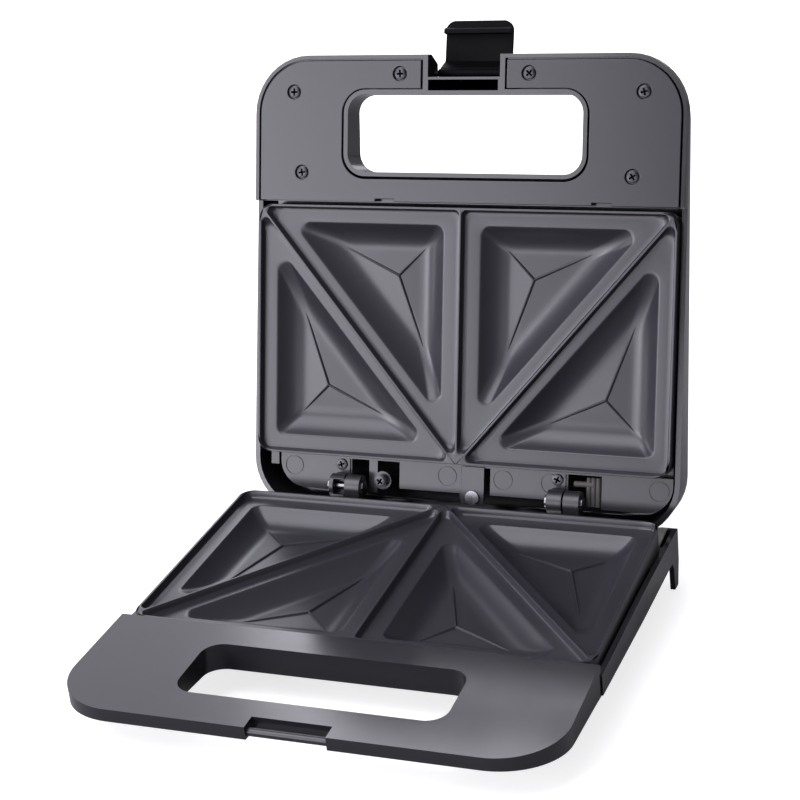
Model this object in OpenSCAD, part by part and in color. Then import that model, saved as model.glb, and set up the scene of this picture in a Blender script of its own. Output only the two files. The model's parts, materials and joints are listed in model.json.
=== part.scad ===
// Sandwich toaster. A base and a lid are hinged along the back and close two pocketed
// plates round a pair of sandwiches. A swinging latch on the lid handle hooks under a
// bar in the base handle. Millimetres, +Z up, handles towards -Y, lid standing open.
//
// Sizes are laid out in the cooker's own frame: y = 0 at the front edge of the handles,
// z = 0 where the two handles meet when shut. The whole is then set on its feet.

/* [Node] */
// Sub-part to draw, or all of them

/* [Overall] */
// Width across the handles
body_w = 228; // [200:1:275]
// Depth of the handles, front edge to back edge
handle_d = 75; // [62:0.5:90]
// Depth of a cooking plate, front rim to back rim
plate_d = 130.7; // [108:0.1:157]
// Slope of the cooker on its feet, front lower
tilt = 6; // [2:0.5:9]
// Height of the handle front edge above the table
front_z = 21; // [18:0.5:30]
// Angle the lid stands open from shut
lid_open = 107.93; // [80:0.01:112]
// Angle the latch stands open from hooked
latch_open = 95; // [60:1:100]

/* [Mouldings] */
// Wall of the base moulding
wall = 2.5; // [2:0.1:3.5]
// Wall of the lid moulding
lid_wall = 2.6; // [2:0.1:3.5]
// Radius of the handle corners in plan
corner_r = 30; // [15:1:40]
// Radius of the lid's back corners in plan
lid_back_r = 28; // [15:1:40]
// Wall round the hand holes
tube_wall = 2.2; // [1.5:0.1:3]
// Open joint line round covers and panels
joint_gap = 0.4; // [0.2:0.05:1]
// Radius of the screw bosses
boss_r = 3.4; // [2.8:0.1:4.5]

/* [Base] */
// Thickness of the base handle at its front edge
handle_front_t = 6.2; // [5:0.1:9]
// Fall of the handle's underside from front to back, degrees
handle_fall = 6.7; // [3:0.1:9]
// How far the skirt stands out past the handle
skirt_out = 0.6; // [0:0.1:2]
// Top edge of the skirt at the front, below the meeting plane
skirt_top_front = 5.2; // [4:0.1:8]
// Top edge of the skirt at the back, below the meeting plane
skirt_top_back = 14.8; // [10:0.1:16]
// Bottom edge of the skirt at the front, below the meeting plane
skirt_low_front = 15.3; // [14:0.1:18]
// Bottom edge of the skirt at the back, below the meeting plane
skirt_low_back = 28; // [24:0.1:30]
// Top of the low back wall under the lid, below the meeting plane
back_wall_top = 24.5; // [22:0.1:26]
// Height of the bottom cover above the table
belly_clear = 8; // [6:0.5:12]
// Thickness of the bottom cover
cover_t = 1.5; // [1.2:0.1:2.5]
// Radius of a front foot
foot_r = 8; // [5:0.5:12]
// Front foot, distance each side of the middle
foot_x = 88; // [60:1:94]
// Depth of a back leg at the table
leg_d = 7; // [5:0.5:10]

/* [Lid] */
// Height of the lid handle at its front edge
lid_front_t = 15; // [13:0.5:20]
// Rise of the lid's top from front to back, degrees
lid_rise = 5.26; // [3:0.01:7]
// Fall of the lid's top from the middle to the sides
crown = 3.9; // [1:0.1:5]
// Height of the lid body's rim above the handle's face
lid_rim = 5; // [4:0.1:7]
// Flare of the lid towards the back, each side
lid_flare = 1.1; // [0:0.1:2]
// Edge rounding of the lid's top
edge_r = 4; // [2:0.5:6]

/* [Hand holes] */
// Length of the hand hole across the handle
hole_w = 124.2; // [100:0.2:150]
// Front edge of the hand hole
hole_y = 19.9; // [18.5:0.1:24]
// Depth of the hand hole, front to back
hole_d = 39.5; // [28:0.5:46]
// Corner radius of the hand hole
hole_r = 9.5; // [5:0.5:15]

/* [Latch] */
// Width of the notch in the lid handle
notch_w = 38; // [30:0.2:50]
// Depth of the notch in the lid handle
notch_d = 11.5; // [10.5:0.1:13]
// Width of the latch
latch_w = 35.6; // [28:0.2:48]
// Width of the notch in the base handle
catch_w = 36.4; // [29:0.2:49]
// Depth of the notch in the base handle
catch_d = 8.1; // [7:0.1:10]
// Radius of the catch bar
catch_r = 1.9; // [1.5:0.1:2.5]
// Latch pivot, back from the handle's front edge
pivot_y = 9; // [8:0.1:10]
// Latch pivot above the meeting plane
pivot_z = 14.5; // [13:0.1:15]
// Radius of the latch pin
latch_pin_r = 1.5; // [1:0.1:2]
// Radial play of the latch on its pin
latch_play = 0.06; // [0.02:0.01:0.1]

/* [Plates] */
// Side gap from the handle's edge line to the plate
plate_side = 3; // [2.5:0.1:6]
// Gap from the handle's back edge to the plate
plate_front = 1.7; // [1.2:0.1:3]
// Corner radius of a plate
plate_r = 7.5; // [4:0.5:12]
// Width of the raised rim and ribs at the top
rim_w = 1.1; // [0.9:0.1:2]
// Height of the rim above the land
rim_h = 4; // [3:0.1:5]
// Gap between the two rims when shut
rim_gap = 0.2; // [0.1:0.05:0.6]
// Middle of that gap, below the meeting plane
rim_mid = 1.2; // [0.8:0.1:2]
// Thickness of a plate's land
land_t = 3; // [2.5:0.1:4]
// Depth of a pocket below the land, at its edge
pocket_h = 8.1; // [6:0.1:8.5]
// Width of a pocket's sloping side
pocket_slope = 9.5; // [4:0.1:11]
// Rise of a pocket's floor towards its middle
pocket_rise = 2.4; // [1:0.1:4]
// Corner radius of a pocket
pocket_r = 4.5; // [3:0.1:6]
// Margin from rim or rib to a pocket
margin = 8.2; // [7.8:0.1:11]
// Margin from the middle rib to a pocket
mid_margin = 10.2; // [9.5:0.1:14]
// Metal under a pocket's floor
pocket_t = 2; // [1.6:0.1:3]

/* [Heating] */
// Radius of the heating element's tube
tube_r = 3.2; // [2.8:0.1:3.3]
// Bend radius of the tube's middle line
bend_r = 11; // [9:0.5:13]
// Depth of the plate frame below the rim
frame_drop = 11.2; // [10.8:0.1:12]
// Thickness of the plate frame
frame_t = 1; // [0.8:0.1:1.5]

/* [Hinges] */
// Hinge, distance each side of the middle
hinge_x = 58.7; // [45:0.1:70]
// Hinge line, back from the plate
hinge_back = 15.07; // [14.5:0.01:18]
// Hinge line, below the meeting plane
hinge_drop = 2.75; // [2.5:0.05:4]
// Outer radius of a knuckle
knuckle_r = 6.2; // [5:0.1:6.4]
// Length of a knuckle
knuckle_l = 7.9; // [6:0.1:9]
// Gap between the two knuckles of a hinge
knuckle_gap = 0.8; // [0.4:0.1:1.5]
// Radius of a hinge pin
pin_r = 2; // [1.5:0.1:2.5]
// Radial play of the lid's knuckle on the pin
pin_play = 0.06; // [0.02:0.01:0.1]

/* [Fasteners] */
// Shank radius of the small screws
screw_r = 1.5; // [1.2:0.1:1.8]
// Radial gap of a fixed screw or pin in its hole
seat_gap = 0.01; // [0.01:0.01:0.05]
// Radius of a cover screw's head
head_r = 2.9; // [2.4:0.1:3.4]
// Height of a screw's head
head_h = 1.6; // [1.2:0.1:2.2]

/* [Hidden] */

$fn = 48;
sink = 0.02;                 // how far joined shapes run into each other
far = 400;                   // past every face, for cutters
hw = body_w / 2;
sw = hw + skirt_out;
plate_hw = hw - plate_side;
plate_y = handle_d + plate_front;
plate_yb = plate_y + plate_d;
hinge_y = plate_yb + hinge_back;
hinge_z = -hinge_drop;
wall_yb = hinge_y + 4.5;     // back face of the base
lid_yb = hinge_y + 16.5;     // back face of the lid
rim_z = -rim_mid - rim_gap / 2;
land_z = rim_z - rim_h;
under_z = land_z - land_t;
floor_z = land_z - pocket_h;
tube_z = under_z - tube_r - 0.1;
clamp_z = tube_z - tube_r - 0.1;
frame_z = rim_z - frame_drop;
strip_z = hinge_z + knuckle_r + 0.55;
hole_yb = hole_y + hole_d;
fold_y = handle_d - 10;      // where the handle's underside steps down to the skirt
mid_y = (handle_d + wall_yb) / 2;
mid_bend = 0.9;              // bow of the skirt's edges at mid depth

clamp_reach = 6.8;           // from the element's line to the screw of a clamp
reflect_z = clamp_z - 3.5;   // lower face of the reflector
foot_y = plate_y + 15.3;
panel_t = 2.4;
slot_top = 12.4;             // top of the slot behind the latch notch
catch_y = 3;                 // middle of the catch bar
catch_z = -4;
lens_x = 14;
lens_y = plate_y + 10;
lens_r = 4;
strip_x0 = -plate_hw + 11.5;
strip_x1 = plate_hw + 0.9;
strip_y = plate_yb + 7.1;     // middle of the raised discs' rings on the strip
strip_disc_x = [-91.6, -5.8, 24.2, 49.5, 105.2];
strip_disc_r = 5.2;
strip_t = 0.8;
short_y = plate_yb + 15.6;   // back edge of the strip between the hinges
tag_x0 = 1.9;                // earth tag on the strip
tag_x1 = 14.2;
tag_at = [(tag_x0 + tag_x1) / 2, short_y + 1.6];
tag_r = 3.6;                 // radius of its rivet's head
ear_w = 8;                   // reach of the stop beside the strip's left end
post_x = -41.3;              // screw post beside the left hinge
post_y = plate_yb + 11.8;
post_h = 4.2;
wire_r = 1.3;                // radius of a wire's sleeve, and their pitch
wire_pitch = 2.4;
head_drop = head_r * tan(handle_fall);   // lets a flat head sit clear of a slanted face

// Back reach of the open latch, and from it the middle of the whole object
tip_y = -18.5 - hinge_y;
tip_z = 26 - hinge_z;
reach_y = hinge_y + tip_y * cos(lid_open) + tip_z * sin(lid_open);
reach_z = hinge_z - tip_y * sin(lid_open) + tip_z * cos(lid_open);
front_y = -(reach_y * cos(tilt) - reach_z * sin(tilt)) / 2;
foot_world_y = front_y + foot_y * cos(tilt) - level(foot_y, 0) * sin(tilt);

// Height in the cooker's frame of a level h above the table
function level(y, h) = (h - front_z - y * sin(tilt)) / cos(tilt);
function skirt_low(y) = lookup(y, [[handle_d, -skirt_low_front],
    [mid_y, -(skirt_low_front + skirt_low_back) / 2 - mid_bend], [wall_yb, -skirt_low_back]]);
function skirt_top(y) = lookup(y, [[handle_d, -skirt_top_front],
    [mid_y, -(skirt_top_front + skirt_top_back) / 2 + mid_bend], [wall_yb, -skirt_top_back]]);
function handle_low(y) = -handle_front_t - y * tan(handle_fall);
function lid_top(y) = lid_front_t + y * tan(lid_rise);

gland_x = -70;
gland_z = (level(wall_yb, belly_clear) - back_wall_top) / 2;

// Plane geometry of the pockets
function cross2(a, b) = a[0] * b[1] - a[1] * b[0];
function unit2(v) = v / norm(v);
function left_of(v) = [-v[1], v[0]];
function meet(p, u, q, v) = p + u * cross2(q - p, v) / cross2(u, v);
function side_dir(t, i) = unit2(t[(i + 1) % 3] - t[i]);
function inset_tri(t, d) = [for (i = [0:2]) let (j = (i + 2) % 3, u = side_dir(t, j), v = side_dir(t, i))
    meet(t[j] + left_of(u) * d[j], u, t[i] + left_of(v) * d[i], v)];
function incentre(t) = let (a = norm(t[1] - t[2]), b = norm(t[2] - t[0]), c = norm(t[0] - t[1]))
    (a * t[0] + b * t[1] + c * t[2]) / (a + b + c);
function in_radius(t) = let (a = norm(t[1] - t[2]), b = norm(t[2] - t[0]), c = norm(t[0] - t[1]))
    abs(cross2(t[1] - t[0], t[2] - t[0])) / (a + b + c);

rib_back = [0, plate_yb + 0.6];
rib_side = [plate_hw, plate_y + 0.3];
front_tri = inset_tri([[0, plate_y + rim_w], [rib_side[0], plate_y + rim_w], [0, rib_back[1]]],
    [margin, margin, mid_margin]);
back_tri = inset_tri([[plate_hw - rim_w, rib_side[1]], [plate_hw - rim_w, plate_yb - rim_w],
    [0, plate_yb - rim_w]], [margin, margin, margin]);

// Middle line of the element: along the front, round two bends and back up the diagonals
run_y = plate_y + 5.4;
diag = unit2(rib_back - rib_side);
knee = [rib_side[0] - (run_y - rib_side[1]) * -diag[0] / diag[1], run_y];
half_knee = acos(-diag[0]) / 2;
trim = bend_r / tan(half_knee);
bend_c = [knee[0] - trim, run_y + bend_r];
leg_from = knee + diag * trim;
leg_to = knee + diag * (norm(rib_back - knee) - 23.6);
clamp_at = [[[0, run_y], 0], [(leg_from + leg_to) / 2, atan2(diag[1], diag[0]) + 180],
    [[-(leg_from[0] + leg_to[0]) / 2, (leg_from[1] + leg_to[1]) / 2], 180 - atan2(diag[1], diag[0])]];

// Where screws go
cover_at = [for (s = [-1, 1], y = [plate_y + 24, wall_yb - 28]) [s * (sw - wall - 3.8), y]];
handle_cover_at = [for (s = [-1, 1]) [s * (hw - 22), 22]];
frame_at = [for (s = [-1, 1], y = [plate_y + 15, plate_yb - 16]) [s * (plate_hw - 5.5), y]];
plate_at = [for (y = [0.21, 0.66]) [0, plate_y + plate_d * y]];
panel_at = [for (s = [-1, 1]) each [[s * 34, 9.8], [s * (hw - 21.8), 18.9], [s * (hw - 26.5), 60]]];

// ---- placing ----
module cooker() { translate([0, front_y, front_z]) rotate([tilt, 0, 0]) children(); }
module lid_place() {
    cooker() translate([0, hinge_y, hinge_z]) rotate([-lid_open, 0, 0])
        translate([0, -hinge_y, -hinge_z]) children();
}
module latch_place() {
    lid_place() translate([0, pivot_y, pivot_z]) rotate([-latch_open, 0, 0])
        translate([0, -pivot_y, -pivot_z]) children();
}
module both_sides() { children(); mirror([1, 0, 0]) children(); }
module flipped() { translate([0, 0, -2 * rim_mid]) mirror([0, 0, 1]) children(); }

// ---- plane shapes ----
module round_rect(x0, y0, x1, y1, r) {
    translate([x0 + r, y0]) square([x1 - x0 - 2 * r, y1 - y0]);
    translate([x0, y0 + r]) square([x1 - x0, y1 - y0 - 2 * r]);
    for (x = [x0 + r, x1 - r], y = [y0 + r, y1 - r]) translate([x, y]) circle(r = r);
}
module handle_plan(g, yb) {  // handle seen from above, drawn in by g, front corners round
    r = corner_r - g;
    for (x = [-hw + corner_r, hw - corner_r]) translate([x, corner_r]) circle(r = r);
    translate([-hw + corner_r, g]) square([body_w - 2 * corner_r, yb - g]);
    translate([-hw + g, corner_r]) square([body_w - 2 * g, yb - corner_r]);
}
module hand_hole(g) {
    round_rect(-hole_w / 2 - g, hole_y - g, hole_w / 2 + g, hole_yb + g, hole_r + g);
}
module plate_plan(g) {
    round_rect(-plate_hw + g, plate_y + g, plate_hw - g, plate_yb - g, plate_r - g);
}
module along_x(h) { rotate([90, 0, 90]) translate([0, 0, -h]) linear_extrude(2 * h) children(); }
module box(x0, y0, z0, x1, y1, z1) { translate([x0, y0, z0]) cube([x1 - x0, y1 - y0, z1 - z0]); }

// ---- fasteners ----
module screw(len, hr, hh) {  // head below, shank up from z = 0, cross recess in the head
    cross_w = hr * 0.28;
    cross_l = hr * 1.15;
    difference() {
        translate([0, 0, -hh]) cylinder(r = hr, h = hh);
        translate([-cross_l / 2, -cross_w / 2, -hh - 1]) cube([cross_l, cross_w, 1.8]);
        translate([-cross_w / 2, -cross_l / 2, -hh - 1]) cube([cross_w, cross_l, 1.8]);
    }
    translate([0, 0, -sink]) cylinder(r = screw_r, h = len + sink);
}
module hole_at(p, r, h) { translate([p[0], p[1], p[2] - h / 2]) cylinder(r = r, h = h); }

// ---- base ----
module base_outer() {
    intersection() {
        translate([0, 0, -far / 2]) linear_extrude(far) handle_plan(0, handle_d);
        along_x(hw) polygon([[0, 0], [handle_d, 0], [handle_d, -skirt_low_front],
            [fold_y, handle_low(fold_y)], [0, -handle_front_t]]);
    }
    along_x(sw) polygon([[handle_d - sink, skirt_top(handle_d)], [mid_y, skirt_top(mid_y)],
        [wall_yb, skirt_top(wall_yb)], [wall_yb, skirt_low(wall_yb)], [mid_y, skirt_low(mid_y)],
        [handle_d - sink, skirt_low(handle_d)]]);
}
module base_hollow() {
    skin = 2.4;
    difference() {
        translate([0, 0, -far - skin]) linear_extrude(far) handle_plan(wall, handle_d - wall);
        translate([0, 0, -far]) linear_extrude(far) hand_hole(tube_wall);
        box(-catch_w / 2 - 6, -1, -far, catch_w / 2 + 6, catch_d + 4, 1);
        for (p = handle_cover_at) translate([p[0], p[1], -far / 2]) cylinder(r = boss_r, h = far);
    }
    difference() {
        box(-sw + wall, handle_d, -far, sw - wall, wall_yb - wall, 1);
        both_sides() ledge(plate_y + 9, plate_y + 28);
        both_sides() ledge(plate_yb - 25, plate_yb - 3);
    }
}
module ledge(y0, y1) {
    translate([sw - wall - 5.5, 0, 0]) along_x(5.6) polygon([[y0, frame_z - frame_t], [y1, frame_z - frame_t],
        [y1, skirt_low(y1) + cover_t], [y0, skirt_low(y0) + cover_t]]);
}
module base_shell() color([0.23, 0.23, 0.25]) cooker() {
    leg_y = wall_yb - 3;
    difference() {
        union() {
            base_outer();
            box(-sw + wall / 2, wall_yb - wall, level(wall_yb, belly_clear), sw - wall / 2, wall_yb,
                -back_wall_top);
            both_sides() translate([sw - wall / 2, 0, 0]) along_x(wall / 2) polygon([
                [leg_y - leg_d - 5, skirt_low(leg_y - leg_d - 5) + 1],
                [leg_y - leg_d - 1, -skirt_low_back - 3.5],
                [leg_y - leg_d, level(leg_y - leg_d, 0)], [leg_y, level(leg_y, 0)],
                [wall_yb, -skirt_low_back - 4], [wall_yb, -skirt_low_back + 1]]);
        }
        base_hollow();
        box(-sw + 8.6, wall_yb - wall - 1, -back_wall_top, sw - 8.6, wall_yb + 1, 2);
        translate([0, 0, -far / 2]) linear_extrude(far) hand_hole(0);
        box(-catch_w / 2, -1, -far, catch_w / 2, catch_d, 1);
        translate([-catch_w / 2 - 3, catch_y, catch_z]) rotate([0, 90, 0])
            cylinder(r = catch_r + seat_gap, h = catch_w + 6);
        for (p = handle_cover_at) hole_at([p[0], p[1], handle_low(p[1])], screw_r + seat_gap, 11);
        for (p = cover_at) hole_at([p[0], p[1], frame_z], screw_r + seat_gap, 60);
        for (p = frame_at) hole_at([p[0], p[1], frame_z], screw_r + seat_gap, 60);
        translate([gland_x, wall_yb, gland_z]) rotate([90, 0, 0])
            cylinder(r = 4 + seat_gap, h = 3 * wall, center = true);
    }
}

module handle_cover() color([0.2, 0.2, 0.22]) cooker() {
    g = wall + joint_gap;
    difference() {
        intersection() {
            translate([0, 0, -far / 2]) linear_extrude(far) handle_plan(g, fold_y - 1);
            along_x(hw) polygon([[0, handle_low(0)], [fold_y, handle_low(fold_y)],
                [fold_y, handle_low(fold_y) + cover_t], [0, handle_low(0) + cover_t]]);
        }
        translate([0, 0, -far / 2]) linear_extrude(far) hand_hole(tube_wall + joint_gap);
        box(-catch_w / 2 - 6.4, -1, -far, catch_w / 2 + 6.4, catch_d + 4.4, 1);
        for (p = handle_cover_at) hole_at([p[0], p[1], 0], boss_r + joint_gap, far);
    }
}
module bottom_cover() color([0.2, 0.2, 0.22]) cooker() {
    in = sw - wall - 7.5;
    y0 = handle_d + joint_gap;
    y1 = wall_yb - wall - joint_gap;
    difference() {
        union() {
            along_x(sw - wall - 0.2) polygon([[y0, skirt_low(y0)], [y0, skirt_low(y0) + cover_t],
                [mid_y, skirt_low(mid_y) + cover_t], [y1, skirt_low(y1) + cover_t], [y1, skirt_low(y1)],
                [mid_y, skirt_low(mid_y)]]);
            along_x(in) polygon([[y0, skirt_low(y0) + 1], [mid_y, skirt_low(mid_y) + 1],
                [y1, skirt_low(y1) + 1], [y1, level(y1, belly_clear)], [y0, level(y0, belly_clear)]]);
        }
        along_x(in - cover_t) polygon([[y0 + cover_t, 0], [y1 - cover_t, 0],
            [y1 - cover_t, level(y1, belly_clear + cover_t)],
            [y0 + cover_t, level(y0, belly_clear + cover_t)]]);
        for (p = cover_at) hole_at([p[0], p[1], skirt_low(p[1])], screw_r + 0.2, 12);
        for (s = [-1, 1]) hole_at([s * foot_x, foot_y, level(foot_y, belly_clear)], 3.3, 8);
        for (x = [-60:12:60]) box(x - 1.5, mid_y - 22, -60, x + 1.5, mid_y + 22, -22);
    }
}
module cover_screws() color([0.1, 0.1, 0.1]) cooker() translate([0, 0, -head_drop]) {
    for (p = cover_at) translate([p[0], p[1], skirt_low(p[1])])
        screw(frame_z - frame_t - skirt_low(p[1]) - 0.5, head_r - 0.3, head_h);
    for (p = handle_cover_at) translate([p[0], p[1], handle_low(p[1])]) screw(5, head_r - 0.3, head_h);
}
module front_feet() color([0.08, 0.08, 0.08])
    for (s = [-1, 1]) translate([s * foot_x, foot_world_y, 0]) {
        cylinder(r1 = foot_r - 1, r2 = foot_r, h = belly_clear - 0.05);
        cylinder(r = 2.6, h = belly_clear + cover_t + 1);
    }
module catch_bar() color([0.12, 0.12, 0.12]) cooker()
    translate([-catch_w / 2 - 2.9, catch_y, catch_z]) rotate([0, 90, 0])
        cylinder(r = catch_r, h = catch_w + 5.8);

// ---- plate, element and their fixings: one set, used upright in the base, turned over in the lid ----
module soft_tri(t, r, g) {  // triangle drawn in by g, with round corners
    q = inset_tri(t, [g + r, g + r, g + r]);
    polygon([for (i = [0:2]) let (out = left_of(side_dir(q, i)) * r)
        each [q[i] - out, q[(i + 1) % 3] - out]]);
    for (v = q) translate(v) circle(r = r, $fn = 28);
}
module taper_tri(t, g, z0, z1, g1) {  // round-cornered triangle from inset g at z0 to inset g1 at z1
    c = incentre(t);
    k = (in_radius(t) - g1) / (in_radius(t) - g);
    translate([c[0], c[1], z0]) linear_extrude(height = z1 - z0, scale = k)
        translate(-c) soft_tri(t, pocket_r / k, g);
}
module pocket(t) {
    c = incentre(t);
    q = inset_tri(t, [pocket_slope, pocket_slope, pocket_slope]);
    difference() {
        taper_tri(t, pocket_slope, floor_z, land_z, 0);
        translate([c[0], c[1], floor_z - sink]) linear_extrude(height = pocket_rise + sink, scale = 0.03)
            translate(-c) polygon(q);
        for (v = q) let (d = v - c, n = norm(d))
            translate([c[0], c[1], floor_z + pocket_rise + 0.35]) rotate([0, 0, atan2(d[1], d[0])])
                rotate([0, atan2(pocket_rise + 1.2, n), 0]) translate([0, -0.5, -2]) cube([n * 0.82, 1, 2]);
    }
}
module bulge(t) {
    taper_tri(t, pocket_slope - pocket_t, floor_z - pocket_t, under_z, 0.4);
}
module rib(a, b) {  // raised rib with steep sides between two points
    d = b - a;
    translate([a[0], a[1], land_z - sink]) rotate([90, 0, atan2(d[1], d[0]) + 90]) linear_extrude(norm(d))
        polygon([[-1.3, 0], [1.3, 0], [0.6, rim_h + sink], [-0.6, rim_h + sink]]);
}
module cooking_plate() {
    difference() {
        union() {
            translate([0, 0, under_z]) linear_extrude(land_t) plate_plan(0);
            translate([0, 0, frame_z]) linear_extrude(rim_z - frame_z) difference() {
                plate_plan(0);
                plate_plan(rim_w);
            }
            translate([0, 0, frame_z]) linear_extrude(under_z - frame_z) difference() {
                plate_plan(0);
                plate_plan(2);
            }
            translate([0, 0, land_z - sink]) linear_extrude(rim_h * 0.45) difference() {
                plate_plan(rim_w / 2);
                plate_plan(rim_w + 0.7);
            }
            intersection() {
                union() {
                    rib([0, plate_y + 0.5], [0, plate_yb - 0.5]);
                    both_sides() rib([0.4, rib_back[1] - 0.4], rib_side);
                    translate([0, plate_yb - 2, land_z]) cylinder(r1 = 5, r2 = 3.4, h = rim_h);
                }
                translate([0, 0, -far / 2]) linear_extrude(far) plate_plan(0.3);
            }
            both_sides() { bulge(front_tri); bulge(back_tri); }
            for (p = plate_at) translate([p[0], p[1], frame_z]) cylinder(r = 4, h = under_z - frame_z + sink);
            for (p = clamp_at) clamp_place(p) translate([0, clamp_reach, clamp_z])
                cylinder(r = 2.5, h = under_z - clamp_z + sink);
        }
        both_sides() { pocket(front_tri); pocket(back_tri); }
        for (p = plate_at) translate([p[0], p[1], frame_z - 1]) cylinder(r = screw_r + seat_gap, h = 5);
        for (p = clamp_at) clamp_place(p) translate([0, clamp_reach, clamp_z - 1])
            cylinder(r = 1.2 + seat_gap, h = 5);
    }
}
module tube_line(a, b, r, e) {  // straight tube from a to b, run on by e at each end
    d = b - a;
    translate([a[0], a[1], tube_z]) rotate([0, 0, atan2(d[1], d[0])]) rotate([0, 90, 0])
        translate([0, 0, -e]) cylinder(r = r, h = norm(d) + 2 * e);
}
module element() {
    slim = tube_r - 0.02;    // straight runs end just inside the bends
    tube_line([-bend_c[0], run_y], [bend_c[0], run_y], slim, 0.4);
    both_sides() {
        tube_line(leg_from, leg_to, slim, 0.4);
        translate([bend_c[0], bend_c[1], tube_z]) rotate([0, 0, -90])
            rotate_extrude(angle = 180 - 2 * half_knee) translate([bend_r, 0]) circle(r = tube_r);
        tube_line(leg_to, leg_to + diag * 2.5, 2.4, 0);
        tube_line(leg_to, leg_to + diag * 9, 1.1, 0);
    }
}
module clamp_place(p) { translate([p[0][0], p[0][1], 0]) rotate([0, 0, p[1]]) children(); }
module clamps() {
    for (p = clamp_at) clamp_place(p) difference() {
        translate([-4, -3.2, clamp_z - 1.2]) cube([8, 12.8, 1.2]);
        translate([0, clamp_reach, clamp_z - 2]) cylinder(r = 1.4, h = 3);
    }
}
module clamp_screws() {
    for (p = clamp_at) clamp_place(p) translate([0, clamp_reach, clamp_z - 1.2]) {
        translate([0, 0, -1.3]) cylinder(r = 2.3, h = 1.3);
        cylinder(r = 1.2, h = 4.5);
    }
}
module plate_screws() {
    for (p = plate_at) translate([p[0], p[1], frame_z - frame_t]) screw(4.4, 2.7, 1.5);
}
module carrier_strips(yb) {  // side strips and middle strap that carry a plate
    both_sides() box(plate_hw - 8, plate_y + 2.3, frame_z - frame_t, plate_hw - 0.5, yb, frame_z);
    box(-6, plate_at[0][1] - 7, frame_z - frame_t, 6, yb, frame_z);
    for (y = [plate_y + plate_d * 0.33, plate_y + plate_d * 0.56])
        box(-3, y, reflect_z, 3, y + 6, frame_z - sink);
}
module carrier_holes() {
    for (p = concat(plate_at, frame_at)) hole_at([p[0], p[1], frame_z], screw_r + 0.15, 10);
}
module reflector() {
    difference() {
        box(-plate_hw + 12, plate_y + 7.5, reflect_z - 0.6, plate_hw - 12, plate_yb - 3.5, reflect_z);
        both_sides() hole_at([incentre(front_tri)[0], incentre(front_tri)[1], reflect_z], 9, 8);
    }
}

// ---- base inside ----
module base_frame() color([0.7, 0.71, 0.72]) cooker() difference() {
    union() {
        carrier_strips(hinge_y - 1);
        box(-plate_hw + 0.5, plate_yb - 4, frame_z - frame_t, plate_hw - 0.5, hinge_y, frame_z);
    }
    carrier_holes();
    for (s = [-1, 1]) {
        box(s * hinge_x - 1, hinge_y - 7, -far, s * hinge_x + knuckle_l + 1.6, hinge_y - 0.4, 0);
        for (x = [-4, 7]) hole_at([s * hinge_x + x, plate_yb + 3.2, frame_z], screw_r + 0.15, 10);
    }
}
module frame_screws() color([0.5, 0.5, 0.5]) cooker()
    for (p = frame_at) translate([p[0], p[1], frame_z]) rotate([180, 0, 0])
        screw(frame_z - frame_t - skirt_low(p[1]) - cover_t + frame_t - 0.4, 2.5, 1.3);
module lower_plate() color([0.5, 0.5, 0.5]) cooker() cooking_plate();
module lower_plate_screws() color([0.5, 0.5, 0.5]) cooker() plate_screws();
module lower_element() color([0.45, 0.43, 0.4]) cooker() element();
module lower_clamps() color([0.7, 0.7, 0.7]) cooker() clamps();
module lower_clamp_screws() color([0.5, 0.5, 0.5]) cooker() clamp_screws();
module lower_reflector() color([0.75, 0.75, 0.76]) cooker() reflector();
module thermostat() color([0.85, 0.82, 0.75]) cooker() {
    c = incentre(front_tri);
    translate([c[0], c[1], floor_z - pocket_t - 5.6]) {
        cylinder(r = 7, h = 5.5);
        for (x = [-4.5, 2.5]) translate([x, -3, -1.8]) cube([2, 6, 1.9]);
    }
}
module thermal_fuse() color([0.8, 0.8, 0.8]) cooker() {
    c = incentre(front_tri);
    translate([-c[0] - 6, c[1], floor_z - pocket_t - 2.2]) rotate([0, 90, 0]) {
        cylinder(r = 2, h = 12);
        translate([0, 0, -1.5]) cylinder(r = 0.6, h = 15);
    }
}
module terminal_block() color([0.88, 0.88, 0.84]) cooker() rotate([-tilt, 0, 0]) {
    y = wall_yb * cos(tilt) - level(wall_yb, belly_clear) * sin(tilt) - 20;
    z = belly_clear + cover_t - front_z;
    difference() {
        translate([-96, y, z]) cube([24, 12, 8]);
        for (x = [-92, -84, -76]) translate([x, y + 6, z + 3]) cylinder(r = 1.6, h = 8);
        for (x = [-92, -84, -76]) translate([x, y - 1, z + 3.5]) rotate([-90, 0, 0])
            cylinder(r = 1.3, h = 14);
    }
}
module cord_gland() color([0.1, 0.1, 0.1]) cooker()
    translate([gland_x, wall_yb + 2, gland_z]) rotate([90, 0, 0]) difference() {
        union() {
            cylinder(r = 5.2, h = 2);
            cylinder(r = 4, h = wall + 2.3);
        }
        translate([0, 0, -1]) cylinder(r = 2.6, h = 12);
    }
module base_hinge_brackets() color([0.55, 0.55, 0.56]) cooker() for (s = [-1, 1])
    translate([s * hinge_x + knuckle_gap / 2, 0, 0]) difference() {
        union() {
            translate([0, hinge_y, hinge_z]) rotate([0, 90, 0]) cylinder(r = knuckle_r, h = knuckle_l + 0.2);
            box(0, hinge_y - 6, frame_z - 6, knuckle_l + 0.2, hinge_y - 1, hinge_z);
            box(-8, plate_yb - 1, frame_z - frame_t - 2.5, knuckle_l + 4, hinge_y - 1, frame_z - frame_t);
        }
        translate([-1, hinge_y, hinge_z]) rotate([0, 90, 0])
            cylinder(r = pin_r + seat_gap, h = knuckle_l + 3);
        for (x = [-4, 7]) hole_at([x - knuckle_gap / 2, plate_yb + 3.2, frame_z], screw_r + seat_gap, 20);
    }
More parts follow.
